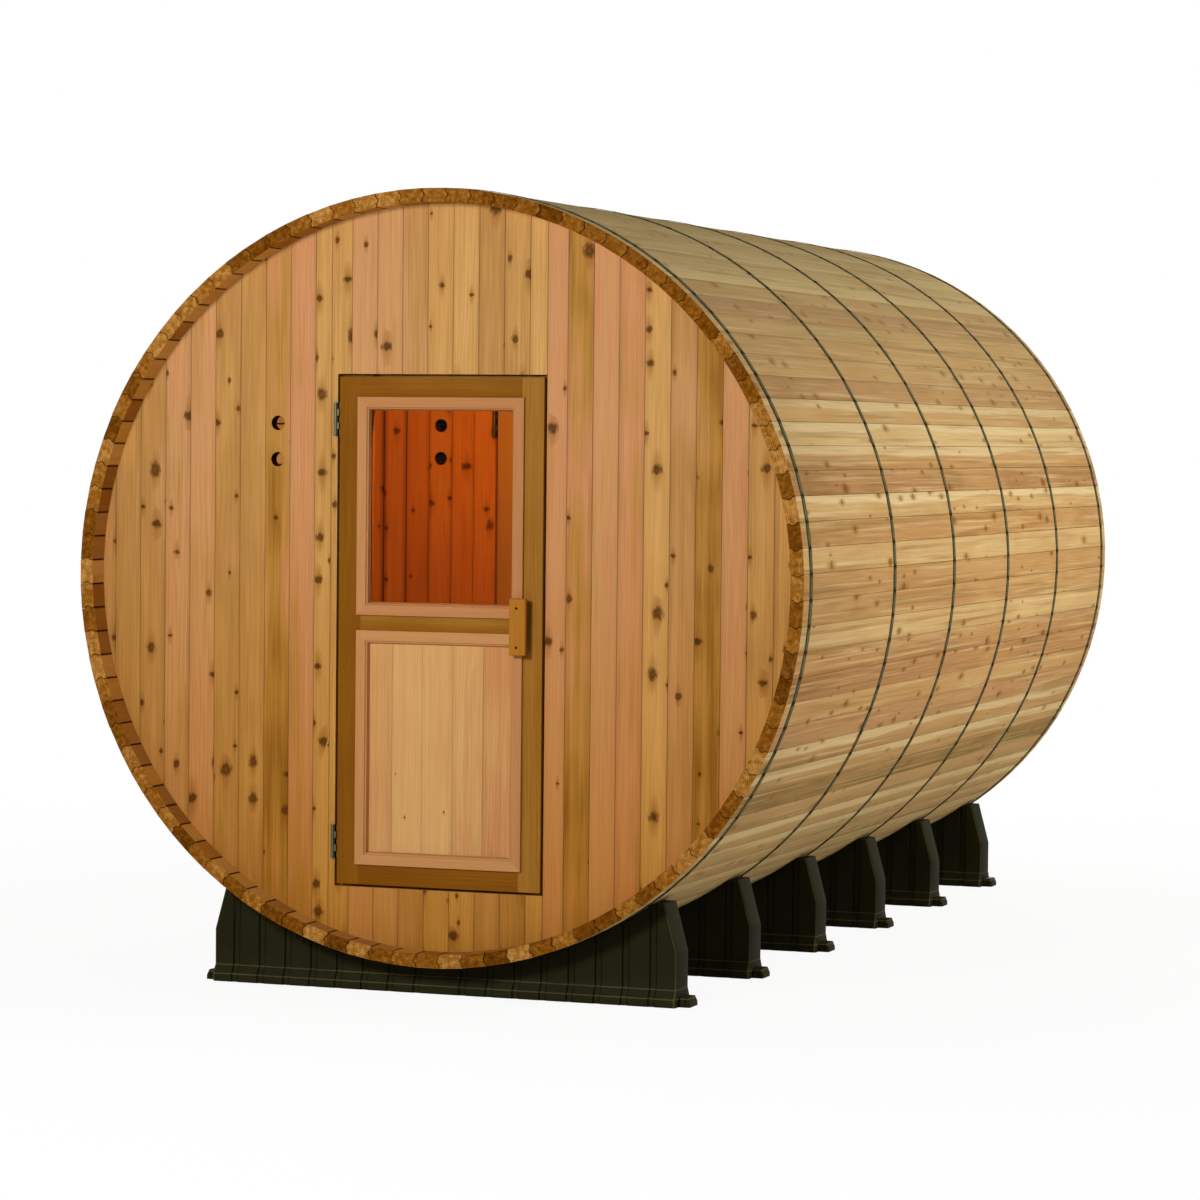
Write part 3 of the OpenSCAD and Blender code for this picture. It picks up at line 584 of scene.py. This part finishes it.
# Board joints across the front from the left: beside the vents, round the door, and to the right.
front_lines = np.concatenate([
    [-wall_end], -vent_out - 77 * np.arange(6, -1, -1), [-vent_in, -378, -329],
    33 + 75.3 * np.arange(-4, 4), [door_half], 369 + 74 * np.arange(9), [wall_end]]) * MM
# Shade of each front board from the left, where 0 is pale, 0.4 tan, 0.75 pink and 0.9 golden
# brown, and then its share of knots.
front_tone = np.array([0.45, 0.42, 0.4, 0.58, 0.62, 0.42, 0.38, 0.88, 0.75, 0.25, 0.3, 0.6, 0.55, 0.5, 0.25,
                       0.2, 0.45, 0.3, 0.2, 0.72, 0.85, 0.65, 0.75, 0.15, 0.5, 0.92, 0.65, 0.3, 0.35])
front_knots = np.array([0.8, 0.3, 0.9, 0.5, 0.4, 1.0, 0.4, 0.2, 0.05, 1.0, 0.9, 0.6, 0.15, 0.1, 0.7,
                        0.9, 0.3, 1.0, 0.6, 0.3, 0.35, 0.15, 0.1, 0.7, 0.5, 0.5, 0.4, 0.6, 0.6])


def wall_boards(name, material, y0, y1, x0, x1, low, high, lines, tone, first_number):
    """Boards between two faces of a wall, from x0 to x1, as upright bars.

    Each section is the board's face with eased long edges, front and back. A point's height runs
    from the lower to the upper bound at its own place across, so the ends follow the round edge.
    """
    keep = np.flatnonzero((lines[1:] > x0 + board_joint) & (lines[:-1] < x1 - board_joint))
    left, right = np.maximum(lines[keep], x0)[:, None], np.minimum(lines[keep + 1], x1)[:, None]
    ease_l = board_ease * (lines[keep] >= x0 - board_joint)[:, None]
    ease_r = board_ease * (lines[keep + 1] <= x1 + board_joint)[:, None]
    left, right = left + board_joint, right - board_joint
    steps = np.linspace(0, 1, 9)
    face = left + ease_l + steps * (right - left - ease_l - ease_r)
    x = np.clip(np.hstack([face, right, right, face[:, ::-1], left, left]), -wall_edge, wall_edge)
    flat = np.zeros_like(face)
    y = np.hstack([y0 + flat, y0 + ease_r, y1 - ease_r, y1 + flat, y1 - ease_l, y0 + ease_l])
    rim = np.sqrt(wall_r**2 - x**2)
    bottom, top = np.maximum(-rim, low)[:, None], np.minimum(rim, high)[:, None]
    z = axis_h + bottom + np.linspace(0, 1, 4)[None, :, None] * (top - bottom)
    number = (keep + first_number)[:, None, None] * 1.0
    middle = ((lines[keep] + lines[keep + 1]) / 2)[:, None]
    across = x - middle + back_shift * (y > (y0 + y1) / 2)
    across = np.hstack([across, across[:, :1]])[:, None]
    grain = stacked(np.concatenate([z, z[:, :, :1]], axis=2), across, number)
    ends = stacked(y[:, None], x[:, None], number)
    half_w = (lines[keep + 1] - lines[keep]) / 2
    piece = bars(name, stacked(x[:, None], y[:, None], z), [material], grain, ends, tone[keep], half_w)
    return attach(piece, "shell")


# The bore cuts across the fibres, a somewhat darker end grain, and is painted almost black as the
# shade inside the hole.
painted_bore_shade, add, shader = new_finish("cedar bore, painted dark as shade", Roughness=0.8, Specular_IOR_Level=0.0)
fibres = add("TexNoise", add("TexCoord").node.outputs["Object"], 1 / (4 * MM), 3.0)
bore_dark = add("ValToRGB", fibres, color_ramp=[(0.3, "#44220a"), (0.7, "#241004")])
fill(shader, Base_Color=bore_dark)


def vent_plates(name, material, y0, y1, x0, x1, centres, half_h, radius, tone, number):
    """Board lengths round a vent hole: from the circle of the hole out to the board's outline.

    Stations run round the hole. The section goes from the hole's front edge to the outline, over
    the eased long edge, to the back and home along the hole's wall.
    """
    turn = np.linspace(0, 2 * np.pi, 96, endpoint=False)
    c, s = np.cos(turn), np.sin(turn)
    half_w, bevel = (x1 - x0) / 2 - board_joint, 1 * MM
    to_side, to_end = half_w / np.maximum(np.abs(c), MM), half_h / np.maximum(np.abs(s), MM)
    out_x, out_z = c * np.minimum(to_side, to_end), s * np.minimum(to_side, to_end)
    ease = board_ease * (to_side < to_end)
    face_x, hole_x, hole_z = out_x - np.sign(out_x) * ease, (radius + bevel) * c, (radius + bevel) * s
    x = np.stack([radius * c, hole_x, face_x, out_x, out_x, face_x, hole_x, radius * c], axis=1)
    z = np.stack([radius * s, hole_z, out_z, out_z, out_z, out_z, hole_z, radius * s], axis=1)
    y = np.broadcast_arrays(y0 + bevel, y0, y0, y0 + ease, y1 - ease, y1, y1, y1 - bevel)
    rings = stacked(x[None] + (x0 + x1) / 2, np.stack(y, axis=1)[None], axis_h + centres[:, None, None] + z)
    looped = np.concatenate([rings, rings[:, :1]], axis=1)
    looped = np.concatenate([looped, looped[:, :, :1]], axis=2)
    across = looped[..., 0] - (x0 + x1) / 2 + back_shift * (looped[..., 1] > (y0 + y1) / 2)
    grain = stacked(looped[..., 2], across, number * 1.0)
    piece = bars(name, rings, [material, painted_bore_shade], grain, tone=tone, half_w=(x1 - x0) / 2, loop=True)
    corners = x.shape[1]
    in_bore = np.arange(len(piece.data.polygons)) % corners == corners - 1
    piece.data.polygons.foreach_set("material_index", in_bore.astype(np.int32))
    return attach(piece, "shell")


def doored_wall(prefix, material, lines, tone, first_number):
    """The wall round a doorway: boards beside, over and under it, and the board with the vents."""
    (_, y0, _), (_, y1, _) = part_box(prefix + "_over_door")
    door_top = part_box(prefix + "_over_door")[0].z - axis_h
    door_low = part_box(prefix + "_under_door")[1].z - axis_h
    door_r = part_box(prefix + "_right")[0].x
    vent_l, vent_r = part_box(prefix + "_vent_board")[0].x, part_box(prefix + "_vent_board")[1].x
    vents = [m for m in frame["record"]["mounts"] if m["name"].startswith(prefix) and m["kind"] == "bore"]
    centres = np.sort([m["pos_m"][2] - axis_h for m in vents])
    radius = vents[0]["dims"]["r_mm"] * MM
    half_h = (centres[1] - centres[0]) / 2
    vent_low, vent_top = centres[0] - half_h, centres[1] + half_h
    for place, node, x0, x1, low, high in (
            ("far_left", None, -wall_edge, vent_l, -beyond, beyond),
            ("left", "_left", vent_r, -door_r, -beyond, beyond),
            ("right", "_right", door_r, wall_edge, -beyond, beyond),
            ("over_door", "_over_door", -door_r, door_r, door_top, beyond),
            ("under_door", "_under_door", -door_r, door_r, -beyond, door_low),
            ("below_vents", None, vent_l, vent_r, -beyond, vent_low),
            ("above_vents", None, vent_l, vent_r, vent_top, beyond)):
        piece = wall_boards(f"boards_{prefix}_{place}", material, y0, y1, x0, x1, low, high, lines, tone,
                            first_number)
        if node:
            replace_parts(piece, prefix + node)
    board = int(np.argmin(np.abs(lines - vent_l)))
    plates = vent_plates(f"boards_{prefix}_vents", material, y0, y1, vent_l, vent_r, centres, half_h, radius,
                         tone[board], board + first_number)
    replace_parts(plates, prefix + "_vent_board")


doored_wall("front_wall", wall_cedar, front_lines, np.column_stack([front_tone, front_knots]), 200)
# Heat and steam have turned the partition a deeper orange brown, with dark lines in its joints
# and painted shade along the long edges of its boards.
room_cedar = cedar("cedar boards, planed and darkened by heat", [
    (0.0, "#cc9450"), (0.35, "#c08648"), (0.7, "#b87a40"), (1.0, "#8e5a20")],
    knot_mm=11.0, late_dark=0.9, drift=0.5, joint=0.4)
# Joints of the partition as they show through the glass, one of them at the edge of its doorway.
inner_lines = np.concatenate([
    [-wall_end], -vent_out - 75 * np.arange(6, -1, -1), [-vent_in, -381.5, -door_half],
    -235 + 75 * np.arange(7), [door_half], 384 + 75 * np.arange(8), [wall_end]]) * MM


def mixed_tones(count, shades, knots):
    """Random shade and share of knots of each plank, within two ranges."""
    return np.column_stack([chance.uniform(*shades, count), chance.uniform(*knots, count)])


inner_tone = mixed_tones(len(inner_lines) - 1, (0.3, 0.7), (0.3, 0.8))
doored_wall("partition", room_cedar, inner_lines, inner_tone, 300)
(_, y0, _), (_, y1, _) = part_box("back_wall")
back_lines = np.concatenate([[-wall_end], 75 * np.arange(-13, 14), [wall_end]]) * MM
back_tone = mixed_tones(len(back_lines) - 1, (0.1, 0.7), (0.1, 0.7))
back = wall_boards("boards_back_wall", wall_cedar, y0, y1, -wall_edge, wall_edge, -beyond, beyond,
                   back_lines, back_tone, 400)
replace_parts(back, "back_wall")

# Floors: duckboards of cedar slats, nailed to bearers that are cut to the curve of the staves and
# laid loose in the bottom of each room. Bare from the saw, the slats are pale and dull.
slat_cedar = cedar("cedar slats, sawn and bare", [(0.0, "#d9b27c"), (0.5, "#cc9f68"), (1.0, "#b98450")],
                   knot_mm=5.0, roughness=0.7)
slat_count, slat_pitch, slat_w, slat_t, bearer_w = 9, 100 * MM, 88 * MM, 22 * MM, 38 * MM


def plank_section(wide, thick, ease=1.5 * MM):
    """Section of a planed batten with rounded edges, as its points round the middle."""
    w, t = wide / 2 - ease, thick / 2 - ease
    corners = [(w, t), (-w, t), (-w, -t), (w, -t)]
    return np.vstack([arc(corner, ease, 90 * k, 90 * k + 90, 4) for k, corner in enumerate(corners)])


def battens(name, axis, start, stop, centres, sections, tone, material, first_number, tip=1.2 * MM,
            half_w=1.0):
    """Straight battens along one axis, with a centre each, and one section or a section each.

    The section is carried along and drawn in slightly at the two ends, which rounds them. Across
    is counted from the middle of the face that shows: the top of a slat, the front of the rest.
    """
    centres = np.asarray(centres, float)
    n = len(centres)
    sections = np.broadcast_to(sections, (n, *np.shape(sections)[-2:]))
    t = np.array([start, start + tip, (start + stop) / 2, stop - tip, stop])[None, :, None]
    size = np.abs(sections).max(1, keepdims=True)
    at_end = np.array([1, 0, 0, 0, 1])[None, :, None, None]
    flat = sections[:, None] * (1 - at_end * tip / size[:, None]) + centres[:, None, None, :]
    order, face = {"x": ((2, 0, 1), 7), "y": ((0, 2, 1), 3), "z": ((0, 1, 2), 11)}[axis]
    parts = flat[..., 0], flat[..., 1], t
    girth = np.stack([girth_of(section) for section in sections])
    girth = girth - girth[:, face:face + 2].mean(1, keepdims=True)
    number = (np.arange(n) + first_number)[:, None, None] * 1.0
    grain = stacked(t, girth[:, None, :], number)
    ends = stacked(sections[:, None, :, 0], sections[:, None, :, 1], number + end_step)
    return bars(name, stacked(*(parts[k] for k in order)), [material], grain, ends, tone, half_w)


def floor_of(node, bearer_count, first_number):
    """Slats of a room's floor, and the curved bearers under them, inside the node's box."""
    low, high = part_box(node)
    x = (np.arange(slat_count) - (slat_count - 1) / 2) * slat_pitch
    centres = np.column_stack([x, np.full(slat_count, high.z - slat_t / 2)])
    tone = mixed_tones(slat_count, (0.1, 0.8), (0.0, 0.4))
    slats = battens("slats_" + node, "y", low.y, high.y, centres, plank_section(slat_w, slat_t), tone,
                    slat_cedar, first_number)
    y = np.linspace(low.y, high.y - bearer_w, bearer_count)[:, None] + np.array([0, 1, 1, 0]) * bearer_w
    x = np.linspace(low.x, high.x, 21)
    foot = axis_h - np.sqrt((inner_r - 0.3 * MM) ** 2 - x**2)
    shelf = np.full(len(x), high.z - slat_t)
    rings = stacked(x[None, :, None], y[:, None, :], np.stack([foot, foot, shelf, shelf], axis=1)[None])
    number = (np.arange(bearer_count) + first_number + slat_count)[:, None, None] * 1.0
    grain = stacked(x[None, :, None], np.arange(5) * bearer_w, number)
    bearers = bars("bearers_" + node, rings, [slat_cedar], grain, tone=[0.5, 0.2])
    for piece in (slats, bearers):
        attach(piece, "shell")
    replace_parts(slats, node)


floor_of("changing_room_floor", 3, 500)
floor_of("hot_room_floor", 4, 540)

# Doors: stained stiles and rails, a tinted pane over a panel of narrow boards, both held by
# pale mitred mouldings. Each hangs on two butt hinges and has a wooden pull on both faces.
# Stain turns the cedar to an olive brown, in which the grain shows and pale patches have worn.
stained_cedar = cedar("cedar, stained olive brown", [(0.0, "#a2722c"), (0.5, "#87540e"), (1.0, "#6c3c04")],
                      late_dark=0.65, drift=0.5, roughness=0.5)
# Indoors the frame was left bare, and steam has greyed it.
bare_frame = cedar("cedar, bare and steamed grey", [(0.0, "#b08c60"), (0.5, "#a28058"), (1.0, "#8e6c46")],
                   late_dark=0.6, drift=0.4)
# Clear wood with hardly a knot, pinkish in the mouldings and paler in the panel.
clear_cedar = cedar("clear cedar, planed", [(0.0, "#c3905a"), (0.5, "#b88050"), (1.0, "#ac7040")],
                    late_dark=0.4, drift=0.25, roughness=0.55)
panel_cedar = cedar("clear cedar, planed, pale", [
    (0.0, "#d2a468"), (0.4, "#c9985f"), (0.7, "#c28854"), (1.0, "#aa6e3a")],
    knot_mm=3.0, late_dark=0.6, drift=0.65, joint=0.06, roughness=0.55)
# Hands have oiled the pull: it is browner than the mouldings and smoother than the wood round it.
handle_wood = cedar("cedar, oiled by hands", [(0.0, "#b67d2d"), (0.5, "#a3671e"), (1.0, "#8b5213")],
                    late_dark=0.45, roughness=0.45)
# Bronze-tinted pane: clear to look through, turning what lies behind it to orange. Steam has left
# faint clouds on it, which dull the tint and the view a little.
tinted_glass, add, shader = new_finish("float glass, bronze tint", IOR=1.1, Transmission_Weight=1.0)
where = add("TexCoord").node.outputs["Object"]
steam = add("TexNoise", where, 1 / (110 * MM), 4.0, 0.6)
tint = add("Mix RGBA", steam, "#e6ad58", "#daa150")
fill(shader, Base_Color=tint, Roughness=add("MapRange", steam, 0.45, 0.8, 0.0, 0.08))
# Zinc-plated steel, brushed along the hinge's leaves, which gives it a soft upright sheen.
hinge_steel, add, shader = new_finish("steel, zinc plated", Roughness=0.4, Metallic=0.9)
where = add("TexCoord").node.outputs["Object"]
brushed = add("VectorMath MULTIPLY", where, (1 / (2 * MM), 1 / (2 * MM), 1 / (40 * MM)))
brush = add("TexNoise", brushed, 1.0, 3.0)
zinc = add("Mix RGBA", brush, "#3c3826", "#6a6448")
fill(shader, Base_Color=zinc)
moulding_w, moulding_lap, moulding_out, moulding_round = 33 * MM, 10 * MM, 8 * MM, 1.5 * MM
frame_fit = 0.4 * MM
grip_round, spacer_w, spacer_t, grip_t = 5 * MM, 22 * MM, 14 * MM, 17 * MM
# Joints between the panel's boards, and the shade and knots of each board from the left.
panel_joints = np.array([-142, -53, 38, 128]) * MM
panel_tone = [[0.45, 0.0], [0.2, 0.3], [0.15, 0.3], [0.3, 0.0], [0.65, 0.0]]


def moulding_section(deep):
    """Section of a moulding: across from its outer edge inwards, and out from the door's face.

    A rounded lip over the frame, a flat, a hollow bevel along the inner edge, and a tongue that
    slopes back to the pane or panel.
    """
    hollow = arc((moulding_w + 0.5 * MM, moulding_out + 0.5 * MM), 5.5 * MM, 180, 265, 6)
    lip = arc((moulding_round, moulding_out - moulding_round), moulding_round, 150, 90, 3)
    sight = moulding_w + 4 * MM
    tongue = [[moulding_w, 2 * MM], [sight, 1 * MM - deep], [sight, -deep], [moulding_lap, -deep],
              [moulding_lap, 0]]
    return np.vstack([[[0, 0], [0, moulding_out - moulding_round]], lip, hollow, tongue])


def moulding_frame(pane_low, pane_high, face_y, out, deep):
    """Four mitred lengths round a pane, as rings of two stations each, and their directions.

    Along a length, each point of the section starts and ends as far in as it lies across, which
    cuts the mitres.
    """
    inset, depth = moulding_section(deep).T
    lap = frame_fit + moulding_lap
    x0, x1, z0, z1 = pane_low.x - lap, pane_high.x + lap, pane_low.z - lap, pane_high.z + lap
    corners = np.array([[x0, z0], [x1, z0], [x1, z1], [x0, z1]])
    heading = np.array([[1, 0], [0, 1], [-1, 0], [0, -1]])
    inward = np.roll(heading, -1, axis=0)
    start = corners[:, None] + (heading + inward)[:, None] * inset[None, :, None]
    stop = np.roll(corners, -1, axis=0)[:, None] + (inward - heading)[:, None] * inset[None, :, None]
    flat = np.stack([start, stop], axis=1)
    return stacked(flat[..., 0], face_y + out * depth, flat[..., 1]), heading


def mouldings(name, panes, face_y, out, first_number):
    """The mouldings on one face of a door, round the glass and round the panel."""
    deeps = [(pane[0].y - face_y) if out < 0 else (face_y - pane[1].y) for pane in panes]
    frames = [moulding_frame(*pane, face_y, out, deep) for pane, deep in zip(panes, deeps)]
    rings = np.concatenate([ring for ring, _ in frames])
    headings = np.concatenate([heading for _, heading in frames])
    number = (np.arange(len(rings)) + first_number)[:, None, None] * 1.0
    along = np.einsum("nspk,nk->nsp", rings[..., [0, 2]], headings)
    along = np.concatenate([along, along[:, :, :1]], axis=2)
    section = moulding_section(deeps[0])
    grain = stacked(along, girth_of(section), number)
    ends = stacked(*section.T, number)
    tone = np.column_stack([chance.uniform(0.2, 0.7, len(rings)), np.zeros(len(rings))])
    return bars(name, rings, [clear_cedar], grain, ends, tone, smooth=30)


def screws(name, x, z, faces, outs):
    """Screws sunk at places x and z into faces that look along outs.

    Each is turned about the y axis: a rim of raised fibres, and inside it the head, painted almost
    black as the shade of its hole.
    """
    radius = np.array([5.2, 5.2, 4.8, 4.4, 3.9])[None, :, None] * MM
    rise = np.array([-1.0, 0.1, 0.6, 0.6, 0.1])[None, :, None] * MM
    turn = np.linspace(0, 2 * np.pi, 24, endpoint=False)
    z, faces, outs = (np.asarray(part)[:, None, None] for part in (z, faces, outs))
    rings = stacked(x + radius * np.cos(turn), faces + outs * rise, z + radius * np.sin(turn))
    return bars(name, rings, [handle_wood, painted_bore_shade])


def door(prefix, frame_cedar, first_number, stile_tone):
    """A door inside the boxes of its nodes, with the wood of its frame and the shade of its stiles."""
    low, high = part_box(prefix + "_stiles")
    rail_low, rail_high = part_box(prefix + "_rails")
    glass_low, glass_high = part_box(prefix + "_glass")
    panel_low, panel_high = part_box(prefix + "_panel")
    grip_low, grip_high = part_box(prefix + "_handle")
    thick, stile_w, mid_y = high.y - low.y, high.x - rail_high.x, (low.y + high.y) / 2
    stiles = battens(prefix + "_stile_pair", "z", low.z, high.z,
                     [[low.x + stile_w / 2, mid_y], [high.x - stile_w / 2, mid_y]],
                     plank_section(stile_w, thick), stile_tone, frame_cedar, first_number)
    spans = np.array([[glass_high.z + frame_fit, high.z],
                      [panel_high.z + frame_fit, glass_low.z - frame_fit],
                      [low.z, panel_low.z - frame_fit]])
    rails = battens(prefix + "_rail_set", "x", rail_low.x, rail_high.x,
                    np.column_stack([np.full(3, mid_y), spans.mean(1)]),
                    [plank_section(thick, b - a) for a, b in spans], [[0.5, 0], [0.35, 0], [0.65, 0]],
                    frame_cedar, first_number + 4, tip=0.2 * MM)
    edges = np.concatenate([[panel_low.x], panel_joints, [panel_high.x]])
    panel_t, panel_y = panel_high.y - panel_low.y, (panel_low.y + panel_high.y) / 2
    widths = np.diff(edges) - 0.3 * MM
    panel = battens(prefix + "_panel_boards", "z", panel_low.z, panel_high.z,
                    np.column_stack([(edges[:-1] + edges[1:]) / 2, np.full(len(widths), panel_y)]),
                    [plank_section(width, panel_t, 0.5 * MM) for width in widths], panel_tone,
                    panel_cedar, first_number + 8, half_w=widths / 2)
    panes = [(glass_low, glass_high), (panel_low, panel_high)]
    outer = mouldings(prefix + "_mouldings_outer", panes, low.y, -1, first_number + 20)
    inner = mouldings(prefix + "_mouldings_inner", panes, high.y, 1, first_number + 30)
    wide, deep = grip_high.x - grip_low.x, spacer_t + grip_t
    pull = np.vstack([[[0, 0], [spacer_w, 0], [spacer_w, spacer_t]],
                      arc((wide - grip_round, spacer_t + grip_round), grip_round, -90, 0, 5),
                      arc((wide - grip_round, deep - grip_round), grip_round, 0, 90, 5),
                      arc((grip_round, deep - grip_round), grip_round, 90, 180, 5)]) - [wide / 2, deep / 2]
    pull_x = grip_low.x + wide / 2
    pulls = battens(prefix + "_pulls", "z", grip_low.z, grip_high.z,
                    [[pull_x, grip_low.y + deep / 2], [pull_x, grip_high.y - deep / 2]],
                    [pull * [1, -1], pull], [[0.4, 0], [0.5, 0]], handle_wood, first_number + 40,
                    tip=2.5 * MM)
    grip_h = grip_high.z - grip_low.z
    screw_z = grip_low.z + grip_h * np.array([0.14, 0.83, 0.14, 0.83])
    fixings = screws(prefix + "_pull_screws", grip_low.x + 0.45 * wide, screw_z,
                     [grip_low.y, grip_low.y, grip_high.y, grip_high.y], [-1, -1, 1, 1])
    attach(fixings, prefix)
    for piece, node, slot in ((stiles, "_stiles", "stained_cedar"), (rails, "_rails", "stained_cedar"),
                              (panel, "_panel", "clear_cedar"), (outer, "_mouldings", "clear_cedar"),
                              (inner, None, "clear_cedar"), (pulls, "_handle", "handle_wood")):
        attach(piece, prefix)
        if node:
            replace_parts(piece, prefix + node)
    dress(prefix + "_glass", tinted_glass)
    dress(prefix + "_hinges", hinge_steel)


door("front_door", stained_cedar, 600, [[0.6, 0], [0.2, 0]])
door("inner_door", bare_frame, 700, [[0.4, 0], [0.5, 0]])

# Jambs: plated hinge leaves on the edge of each doorway, which carry the pins, and a stop of planed
# cedar lengths, nailed round the doorway to the inner face of the wall, for the door to close on.
stop_w = 45 * MM
stop_tone = [[0.4, 0.3], [0.5, 0.3]]
for prefix, number in (("front", 800), ("inner", 820)):
    dress(prefix + "_jamb_hinges", hinge_steel)
    low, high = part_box(prefix + "_door_stop")
    stop_t, mid_y = high.y - low.y, (low.y + high.y) / 2
    sides = battens(prefix + "_stop_sides", "z", low.z, high.z,
                    [[low.x + stop_w / 2, mid_y], [high.x - stop_w / 2, mid_y]],
                    plank_section(stop_w, stop_t), stop_tone, wall_cedar, number)
    ends = battens(prefix + "_stop_ends", "x", low.x + stop_w, high.x - stop_w,
                   [[mid_y, low.z + stop_w / 2], [mid_y, high.z - stop_w / 2]],
                   plank_section(stop_t, stop_w), stop_tone, wall_cedar, number + 10)
    for piece in (sides, ends):
        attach(piece, "shell")
    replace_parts(sides, prefix + "_door_stop")

# Studio: white paper on the floor, which keeps a faint shadow near the barrel, a lamp ahead of
# the door, broad lamps on the other sides and a weak even light from all round.
floor_mesh = bpy.data.meshes.new("floor")
reach = 60
sheet_corners = [(-reach, -reach, 0), (reach, -reach, 0), (reach, reach, 0), (-reach, reach, 0)]
floor_mesh.from_pydata(sheet_corners, [], [(0, 1, 2, 3)])
floor = bpy.data.objects.new("floor", floor_mesh)
scene.collection.objects.link(floor)
world = bpy.data.worlds.new("studio")
world.use_nodes = True
scene.world = world
fill_light = 0.12


def seen_white(add):
    """1 for rays that make the background: from the camera, from a gloss and through glass."""
    rays = add("LightPath").node.outputs
    mirrored = add("Math MAXIMUM", rays["Is Glossy Ray"], rays["Is Transmission Ray"])
    return add("Math MAXIMUM", rays["Is Camera Ray"], mirrored)


# Matt paper. Near the barrel 8% of what shows is its own lit surface, which keeps the shadow, and
# from 5 m on it is plain white.
paper, add, _ = new_finish("white studio paper")
floor_mesh.materials.append(paper)
away = add("VectorMath LENGTH", add("TexCoord").node.outputs["Object"])
clean = add("MapRange", away, 2.0, 5.0, 0.92, 1.0)
glow_share = add("Math MULTIPLY", clean, seen_white(add))
sheet, glow = add("BsdfDiffuse", "#d8d6d0"), add("Emission", "#ffffff", 1.0)
fill(paper.node_tree.nodes["Material Output"], add("MixShader", glow_share, sheet, glow))
add = partial(add_node, world.node_tree)
level = add("Math MULTIPLY_ADD", seen_white(add), 1 - fill_light, fill_light)
fill(world.node_tree.nodes["Background"], "#ffffff", level)


def softbox(name, place, aim, size, power, colour="#ffffff"):
    """Square lamp of a size in metres at a place, facing the aim."""
    lamp = bpy.data.objects.new(name, bpy.data.lights.new(name, "AREA"))
    lamp.data.size, lamp.data.energy, lamp.data.color = size, power, hex_colour(colour)[:3]
    lamp.location = place
    lamp.rotation_euler = (Vector(aim) - Vector(place)).to_track_quat("-Z", "Y").to_euler()
    scene.collection.objects.link(lamp)


softbox("front_lamp", (-0.5, -6.4, 2.5), (0.1, -1.7, 1.4), 1.0, 192)
softbox("right_lamp", (7.0, 0.8, 4.4), (1.0, 0.3, 1.4), 3.0, 465)
softbox("left_lamp", (-7.0, 1.2, 4.6), (-1.0, 0.3, 1.4), 3.0, 330)
softbox("back_lamp", (-0.6, 7.0, 3.2), (0.0, 1.7, 1.4), 2.0, 260)
softbox("room_light", (0.15, -1.55, 1.95), (-0.2, -0.5, 1.3), 0.25, 20, "#ffe2b8")
